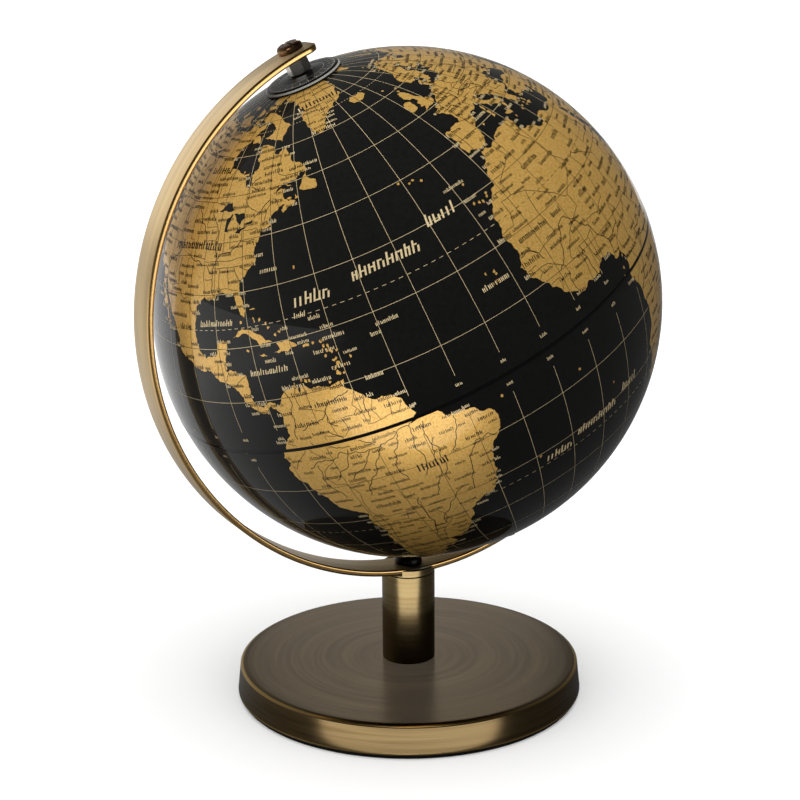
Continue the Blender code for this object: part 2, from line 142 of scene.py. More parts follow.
def ramp(
    tree: bpy.types.NodeTree, fac: bpy.types.NodeSocket, stops: Sequence[tuple[float, str]]
) -> bpy.types.NodeSocket:
    """Add a colour ramp.

    Args:
        tree: The node tree that takes the node.
        fac: What the ramp reads.
        stops: Places from 0 to 1 with their hex colours.

    Returns:
        The colour socket.
    """
    made = add_node(tree, "ShaderNodeValToRGB", {"Fac": fac})
    elements = made.color_ramp.elements
    while len(elements) < len(stops):
        elements.new(1.0)
    for element, (place, colour) in zip(elements, stops):
        element.position = place
        element.color = linear(colour)
    return made.outputs["Color"]


def new_shader(name: str) -> tuple[bpy.types.Material, bpy.types.NodeTree, bpy.types.Node]:
    """Make an empty Principled material.

    Args:
        name: The real material and its finish.

    Returns:
        The material, its tree and its shader node.
    """
    material = bpy.data.materials.new(name)
    material.use_nodes = True
    tree = material.node_tree
    return material, tree, tree.nodes["Principled BSDF"]


def set_sockets(shader: bpy.types.Node, **values: Any) -> None:
    """Set plain values on a shader's own sockets, with spaces for underscores in their names."""
    for name, value in values.items():
        shader.inputs[name.replace("_", " ")].default_value = value


def mottled(
    name: str, tones: Sequence[tuple[float, str]], size_mm: float, **noise: float
) -> tuple[bpy.types.Material, bpy.types.NodeTree, bpy.types.Node, bpy.types.NodeSocket]:
    """Start a material whose colour wanders over the piece.

    Args:
        name: The real material and its finish.
        tones: Places from 0 to 1 with their hex colours.
        size_mm: How wide one blotch is.
        noise: Values for the noise's other sockets.

    Returns:
        The material, its tree, its shader node and the noise.
    """
    material, tree, shader = new_shader(name)
    place = add_node(tree, "ShaderNodeTexCoord")
    sockets = {"Vector": place.outputs["Object"], "Scale": 1.0 / (size_mm * MM), **noise}
    fac = add_node(tree, "ShaderNodeTexNoise", sockets).outputs["Fac"]
    tree.links.new(ramp(tree, fac, tones), shader.inputs["Base Color"])
    return material, tree, shader, fac


# ---------------------------------------------------------------- finishes


class Grain(Enum):
    """The way that a brushed or turned grain runs on a piece."""

    ROUND = "round the upright axis"
    ALONG = "along the piece's own length"


@dataclass(frozen=True)
class BrushedBrass:
    """Antique brass, brushed, darkened and lacquered: fine lines catch the light along the brush.

    Real brush lines are about a tenth of a millimetre apart and are drawn wider, so that they
    show.
    """

    name: str
    light: str
    dark: str
    roughness: float = 0.3
    grain: Grain = Grain.ROUND
    line_mm: float = 0.35
    depth_mm: float = 0.006
    anisotropy: float = 0.6

    def material(self) -> bpy.types.Material:
        """Build the material.

        Returns:
            The finished material.
        """
        material, tree, shader = new_shader(self.name)
        across, along = self.coordinates(tree)
        lines = add_node(
            tree,
            "ShaderNodeTexNoise",
            {"Vector": self.stretched(tree, across, along, 0.012), "Scale": 1.0, "Detail": 3.0},
        )
        broad = add_node(
            tree,
            "ShaderNodeTexNoise",
            {"Vector": self.stretched(tree, across, along, 0.04, 9.0), "Scale": 1.0, "Detail": 2.0},
        )
        mixed = calculate(tree, "MULTIPLY_ADD", broad.outputs["Fac"], 0.55, 0.0)
        mixed = calculate(tree, "MULTIPLY_ADD", lines.outputs["Fac"], 0.45, mixed)
        colour = ramp(tree, mixed, [(0.38, self.dark), (0.62, self.light)])
        tree.links.new(colour, shader.inputs["Base Color"])
        rough = calculate(tree, "MULTIPLY_ADD", lines.outputs["Fac"], 0.16, self.roughness - 0.08)
        tree.links.new(rough, shader.inputs["Roughness"])
        bump = add_node(
            tree,
            "ShaderNodeBump",
            {"Height": lines.outputs["Fac"], "Distance": self.depth_mm * MM, "Strength": 1.0},
        )
        tree.links.new(bump.outputs["Normal"], shader.inputs["Normal"])
        tangent = add_node(tree, "ShaderNodeTangent", direction_type="UV_MAP", uv_map="surface")
        tree.links.new(tangent.outputs["Tangent"], shader.inputs["Tangent"])
        set_sockets(shader, Metallic=1.0, Anisotropic=self.anisotropy)
        return material

    def coordinates(
        self, tree: bpy.types.NodeTree
    ) -> tuple[bpy.types.NodeSocket, bpy.types.NodeSocket]:
        """Work out how far a point lies across the brush and along it.

        Args:
            tree: The node tree that takes the nodes.

        Returns:
            The two distances in metres.
        """
        if self.grain is Grain.ALONG:
            uv = add_node(tree, "ShaderNodeUVMap", uv_map="surface")
            parts = add_node(tree, "ShaderNodeSeparateXYZ", {0: uv.outputs["UV"]})
            return parts.outputs["Y"], parts.outputs["X"]
        place = add_node(tree, "ShaderNodeTexCoord")
        parts = add_node(tree, "ShaderNodeSeparateXYZ", {0: place.outputs["Object"]})
        squares = calculate(tree, "MULTIPLY", parts.outputs["X"], parts.outputs["X"])
        squares = calculate(
            tree, "MULTIPLY_ADD", parts.outputs["Y"], parts.outputs["Y"], squares
        )
        radius = calculate(tree, "SQRT", squares)
        across = calculate(tree, "ADD", radius, parts.outputs["Z"])
        angle = calculate(tree, "ARCTAN2", parts.outputs["Y"], parts.outputs["X"])
        bent = calculate(tree, "SINE", angle)
        return across, calculate(tree, "MULTIPLY", bent, radius)

    def stretched(
        self,
        tree: bpy.types.NodeTree,
        across: bpy.types.NodeSocket,
        along: bpy.types.NodeSocket,
        squeeze: float,
        coarser: float = 1.0,
    ) -> bpy.types.NodeSocket:
        """Scale the two distances so that noise draws out into lines.

        Args:
            tree: The node tree that takes the nodes.
            across: Distance across the brush.
            along: Distance along the brush.
            squeeze: Frequency along the brush, as a share of that across it.
            coarser: How many times wider than one line the pattern is.

        Returns:
            The vector for a noise texture.
        """
        step = 1.0 / (self.line_mm * MM * coarser)
        made = add_node(
            tree,
            "ShaderNodeCombineXYZ",
            {
                "X": calculate(tree, "MULTIPLY", across, step),
                "Y": calculate(tree, "MULTIPLY", along, step * squeeze),
            },
        )
        return made.outputs["Vector"]


@dataclass(frozen=True)
class PlainMetal:
    """Plated, blackened or cast metal, whose faint mottle breaks up its reflections."""

    name: str
    light: str
    dark: str
    roughness: float
    mottle_mm: float = 1.2

    def material(self) -> bpy.types.Material:
        """Build the material."""
        tones = [(0.35, self.dark), (0.65, self.light)]
        material, tree, shader, fac = mottled(self.name, tones, self.mottle_mm, Detail=4.0)
        rough = calculate(tree, "MULTIPLY_ADD", fac, 0.16, self.roughness - 0.08)
        tree.links.new(rough, shader.inputs["Roughness"])
        set_sockets(shader, Metallic=1.0)
        return material


@dataclass(frozen=True)
class Plastic:
    """A moulded or foamed plastic, with a grain that is as fine as its roughness says."""

    name: str
    light: str
    dark: str
    roughness: float
    grain_mm: float = 0.6
    depth_mm: float = 0.01
    ior: float = 1.5

    def material(self) -> bpy.types.Material:
        """Build the material."""
        tones = [(0.3, self.dark), (0.7, self.light)]
        material, tree, shader, fac = mottled(self.name, tones, self.grain_mm, Detail=3.0)
        depth = {"Height": fac, "Distance": self.depth_mm * MM, "Strength": 0.5}
        bump = add_node(tree, "ShaderNodeBump", depth)
        tree.links.new(bump.outputs["Normal"], shader.inputs["Normal"])
        set_sockets(shader, Roughness=self.roughness, IOR=self.ior)
        return material


@dataclass(frozen=True)
class LaminatedPrint:
    """Printed paper under a clear gloss laminate: ink or foil below, a mirror-smooth coat above.

    Real print dots are about a tenth of a millimetre wide and are drawn wider, so that they show.
    """

    name: str
    light: str
    dark: str
    metallic: float
    roughness: float
    speckle_mm: float = 0.5
    specular: float = 0.5
    coat_ior: float = 1.33

    def material(self) -> bpy.types.Material:
        """Build the material."""
        tones = [(0.34, self.dark), (0.56, self.light)]
        size = self.speckle_mm
        material, _, shader, _ = mottled(self.name, tones, size, Detail=2.0, Roughness=0.7)
        set_sockets(
            shader, Metallic=self.metallic, Roughness=self.roughness,
            Specular_IOR_Level=self.specular, Coat_Weight=1.0, Coat_Roughness=0.02,
            Coat_IOR=self.coat_ior,
        )
        return material


class Finishes:
    """Every finish of the globe, each made once and shared by the pieces that have it."""

    def __init__(self) -> None:
        """Build the materials."""
        # Black ocean ink under the laminate: nearly no light of its own, only the coat's mirror.
        self.ocean = LaminatedPrint(
            "black ocean ink, laminated", "141413", "10100F", 0.0, 0.6, 2.0, 0.2
        ).material()
        # Matt gold foil: the land, warm and satin, with a dark dust of print dots.
        self.land = LaminatedPrint(
            "gold foil land, laminated", "F4C66E", "E0A94C", 0.6, 0.40, 0.9, 0.5
        ).material()
        # Pale gold ink: lines and lettering on the ocean.
        self.gold_line = LaminatedPrint(
            "pale gold line, laminated", "F2DCAC", "E6CC98", 0.4, 0.45, 0.9, 0.5
        ).material()
        # Dark ink: lines and lettering on the land.
        self.dark_line = LaminatedPrint(
            "dark brown line, laminated", "120C05", "0E0903", 0.0, 0.6, 0.9, 0.3
        ).material()
        # Gloss black plastic: the rib at the equator.
        self.rib = Plastic(
            "gloss black joining rib", "070707", "050505", 0.12, 4.0, 0.004, 1.45
        ).material()
        # Brushed along its length: the arm's wide faces, olive and satin.
        self.arm = BrushedBrass(
            "antique brass strip, brushed lengthwise", "C2A672", "A98F60", 0.34, Grain.ALONG, 0.4
        ).material()
        # The arm's two narrow edges, bright gold: a brighter, smoother copy of the strip's brass, a
        # painted highlight on its rounded edges.
        self.arm_edge_highlight = BrushedBrass(
            "brass strip edge, polished", "E6BC7C", "D6AA66", 0.22, Grain.ALONG, 0.3, 0.003, 0.3
        ).material()
        # Turned and brushed round: the post, darker.
        self.post = BrushedBrass(
            "antique brass tube, turned", "94815C", "806D49", 0.22, Grain.ROUND, 0.25, 0.004
        ).material()
        # Spun and brushed in rings: the base cover, the darkest brass.
        self.base = BrushedBrass(
            "antique brass cover, spun and brushed", "786546", "5E4D32", 0.2, Grain.ROUND,
            0.3, 0.003, 0.55
        ).material()
        # The base's bright edge brass: a painted highlight on its rounded shoulder, and a bright
        # line along the lip at the bottom.
        self.base_edge_highlight = BrushedBrass(
            "antique brass, rubbed edge", "E0BC7C", "C9A464", 0.22, Grain.ROUND, 0.3, 0.003, 0.3
        ).material()
        # Bronzed steel: the slotted screws.
        self.bronze = PlainMetal("bronzed steel screw", "94704C", "7C5C3E", 0.26).material()
        # Nickel plate: the two long nuts.
        self.nickel = PlainMetal("nickel-plated nut", "D2CEC4", "C2BDB2", 0.3).material()
        # Blackened steel: the button screw in the arm.
        self.black_steel = PlainMetal("blackened steel screw", "2A2826", "161514", 0.35).material()
        # Zinc plate: the bolt and washer inside the base.
        self.zinc = PlainMetal("zinc-plated steel", "B5B6B2", "93948F", 0.35).material()
        # Cast iron: the weight, rough and grey.
        self.iron = PlainMetal("cast iron weight", "4A4A4A", "2E2E2E", 0.7, 2.5).material()
        # Bare steel: the plug inside the post.
        self.steel = PlainMetal("bare steel plug", "8F8F8C", "747471", 0.4).material()
        # Moulded nylon: the bushes, dull and dark.
        self.nylon = Plastic("dark nylon bush", "2C2C2C", "222222", 0.5).material()
        # Natural nylon: the washer under the ball, milky.
        self.washer = Plastic("natural nylon washer", "D9D5C8", "C9C4B4", 0.45).material()
        # Gloss enamel: the hour dial.
        self.dial = Plastic(
            "dark enamel dial", "101011", "0B0B0C", 0.14, 3.0, 0.002, 1.35
        ).material()
        # Silver-grey print: ticks and figures on the dial, and the same finish on the outer half of
        # its bevel as a painted highlight.
        self.dial_print_and_highlight = Plastic("silver-grey dial print", "98958D", "86837B", 0.4).material()
        # Black foam: the pad under the base.
        self.pad = Plastic("black foam pad", "1C1B1A", "0E0E0D", 0.9, 0.5, 0.08).material()


# ---------------------------------------------------------------- surfaces


@dataclass(frozen=True)
class Axis:
    """A point and three directions that a piece is built along."""

    origin: np.ndarray
    right: np.ndarray
    forward: np.ndarray
    up: np.ndarray

    @classmethod
    def upright(cls) -> "Axis":
        """The object's own axes, with Z up."""
        return cls(np.zeros(3), *np.eye(3))

    @classmethod
    def leaning(cls, origin: Sequence[float], up: Sequence[float]) -> "Axis":
        """Axes about a leaning line, with the second one kept level.

        Args:
            origin: A point on the line.
            up: The line's direction.

        Returns:
            The axes.
        """
        upward = np.array(up, float)
        upward /= np.linalg.norm(upward)
        right = np.cross((0.0, 1.0, 0.0), upward)
        right /= np.linalg.norm(right)
        return cls(np.array(origin, float), right, np.cross(upward, right), upward)

    def flipped(self) -> "Axis":
        """The same line, pointing the other way."""
        return Axis(self.origin, -self.right, self.forward, -self.up)

    def place(self, points: np.ndarray) -> np.ndarray:
        """Carry points from these axes to the object's own."""
        return self.origin + points @ np.stack([self.right, self.forward, self.up])


def grid_quads(rows: int, columns: int, wrap: bool) -> np.ndarray:
    """Number the four corners of every cell of a grid.

    Args:
        rows: Points down the grid.
        columns: Points across the grid.
        wrap: Whether the last column joins the first.

    Returns:
        One row of four point numbers for each cell.
    """
    index = np.arange(rows * columns).reshape(rows, columns)
    if wrap:
        index = np.concatenate([index, index[:, :1]], axis=1)
    corners = (index[:-1, :-1], index[:-1, 1:], index[1:, 1:], index[1:, :-1])
    return np.stack([corner.ravel() for corner in corners], axis=1)


def ring_points(radius: np.ndarray, height: np.ndarray, angle: np.ndarray) -> np.ndarray:
    """Points at (radius cos t, radius sin t, height), with a row for each height."""
    flat = radius * np.cos(angle), radius * np.sin(angle)
    return np.stack(np.broadcast_arrays(*flat, height), axis=-1).reshape(-1, 3)


def put(name: str, mesh: bpy.types.Mesh) -> bpy.types.Object:
    """Put a mesh in the scene as an object at the origin."""
    made = bpy.data.objects.new(name, mesh)
    bpy.context.scene.collection.objects.link(made)
    return made


def signed_volume(points: np.ndarray, quads: np.ndarray) -> float:
    """Six times the volume inside a closed surface, negative if its faces point inwards."""
    first, second, third, fourth = (points[quads[:, i]] for i in range(4))
    halves = np.einsum("ij,ij->i", first, np.cross(second, third))
    return float((halves + np.einsum("ij,ij->i", first, np.cross(third, fourth))).sum())


def add_surface(
    name: str,
    points: np.ndarray,
    quads: np.ndarray,
    materials: Sequence[bpy.types.Material],
    uv: np.ndarray | None = None,
    finish: np.ndarray | None = None,
    sharp_deg: float = 35.0,
) -> bpy.types.Object:
    """Make a mesh object from arrays, with coincident points welded and faces turned outwards.

    Args:
        name: The piece's name.
        points: Its points.
        quads: Four point numbers for each face.
        materials: Its finishes.
        uv: Two coordinates in metres for each corner of each face.
        finish: The number of each face's finish.
        sharp_deg: The angle past which an edge stays sharp.

    Returns:
        The new object.
    """
    if signed_volume(points, quads) < 0:
        quads = quads[:, ::-1]
        uv = None if uv is None else uv[:, ::-1]
    mesh = bpy.data.meshes.new(name)
    mesh.from_pydata(points.tolist(), [], quads.tolist())
    layer = mesh.uv_layers.new(name="surface")
    if uv is not None:
        layer.data.foreach_set("uv", uv.reshape(-1).astype(np.float32))
    for material in materials:
        mesh.materials.append(material)
    if finish is not None:
        mesh.polygons.foreach_set("material_index", finish.astype(np.int32))
    shape = bmesh.new()
    shape.from_mesh(mesh)
    bmesh.ops.remove_doubles(shape, verts=shape.verts, dist=WELD)
    bmesh.ops.dissolve_degenerate(shape, edges=shape.edges, dist=WELD)
    shape.to_mesh(mesh)
    shape.free()
    mesh.shade_smooth()
    mesh.set_sharp_from_angle(angle=math.radians(sharp_deg))
    return put(name, mesh)


def fillet(corners: Sequence[tuple[float, float, float]], steps: int = 5) -> np.ndarray:
    """Round the corners of a profile.

    Each corner gives way to an arc that is tangent to its two sides. The arc's points are
    the corner plus the two side directions, weighted so that they lie on the circle.

    Args:
        corners: Two coordinates and a radius for each corner. A radius of zero stays sharp.
        steps: Pieces in each arc.

    Returns:
        The points of the rounded profile.
    """
    given = np.array(corners, float)
    points = []
    last = len(given) - 1
    for i, (x, y, radius) in enumerate(given):
        here = np.array([x, y])
        if radius <= 0 or i in (0, last):
            points.append(here[None])
            continue
        back = given[i - 1, :2] - here
        ahead = given[i + 1, :2] - here
        back /= np.linalg.norm(back)
        ahead /= np.linalg.norm(ahead)
        half = math.acos(float(np.clip(back @ ahead, -1, 1))) / 2
        centre = here + (back + ahead) / np.linalg.norm(back + ahead) * radius / math.sin(half)
        start = here + back * radius / math.tan(half) - centre
        stop = here + ahead * radius / math.tan(half) - centre
        share = np.linspace(0, 1, steps + 1)[:, None]
        sweep = math.pi - 2 * half
        weights = np.sin((1 - share) * sweep), np.sin(share * sweep)
        points.append(centre + (start * weights[0] + stop * weights[1]) / math.sin(sweep))
    return np.concatenate(points)


def turned(
    name: str,
    profile: np.ndarray,
    axis: Axis,
    materials: Sequence[bpy.types.Material],
    steps: int = 96,
    closed: bool = False,
    finish: np.ndarray | None = None,
    sharp_deg: float = 35.0,
) -> bpy.types.Object:
    """Make a surface of revolution.

    A profile point at (radius, height) goes to (radius cos t, radius sin t, height) for t
    over a full turn, in the piece's own axes.

    Args:
        name: The piece's name.
        profile: Radius and height of each point.
        axis: The axes that it is built along.
        materials: Its finishes.
        steps: Columns in the full turn.
        closed: Whether the profile's last point joins its first.
        finish: The number of the finish of each band of the profile.
        sharp_deg: The angle past which an edge stays sharp.

    Returns:
        The new object.
    """
    if closed:
        profile = np.concatenate([profile, profile[:1]])
    angle = np.arange(steps) / steps * TURN
    points = axis.place(ring_points(profile[:, :1], profile[:, 1:], angle))
    quads = grid_quads(len(profile), steps, True)
    run = np.concatenate([[0], np.cumsum(np.hypot(*np.diff(profile, axis=0).T))])
    reach = profile[:, 0].max()
    around = np.arange(steps + 1) / steps * TURN * reach
    corner = grid_quads(len(profile), steps + 1, False)
    flat = np.stack(np.meshgrid(around, run, indexing="xy"), axis=-1).reshape(-1, 2)
    bands = None if finish is None else np.repeat(finish, steps)
    return add_surface(name, points, quads, materials, flat[corner], bands, sharp_deg)


def keep_with(obj: bpy.types.Object, body: str, slot: str, *nodes: str) -> bpy.types.Object:
    """Tie a piece to its body and hide the plain solids that it stands for.

    Args:
        obj: The piece.
        body: The body that it moves with.
        slot: Not used.
        nodes: The solids that it replaces.

    Returns:
        The same piece.
    """
    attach(obj, body)
    if nodes:
        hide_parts(*nodes)
    LOG.info("%s rides on %s, %d faces", obj.name, body, len(obj.data.polygons))
    return obj


def dress_solid(name: str, material: bpy.types.Material) -> None:
    """Give a solid that stays as it is a better finish.

    Args:
        name: The solid's name.
        material: Its finish.
    """
    obj = frame["nodes"][name]
    if not obj.material_slots:
        obj.data.materials.append(material)
    for place in obj.material_slots:
        place.material = material
    LOG.info("%s keeps its shape", name)


# ---------------------------------------------------------------- the map

def outlines(text: str) -> list[np.ndarray]:
    """Read longitudes and latitudes in degrees from a text whose outlines slashes part."""
    return [np.array(part.split(), float).reshape(-1, 2) for part in text.split("/")]
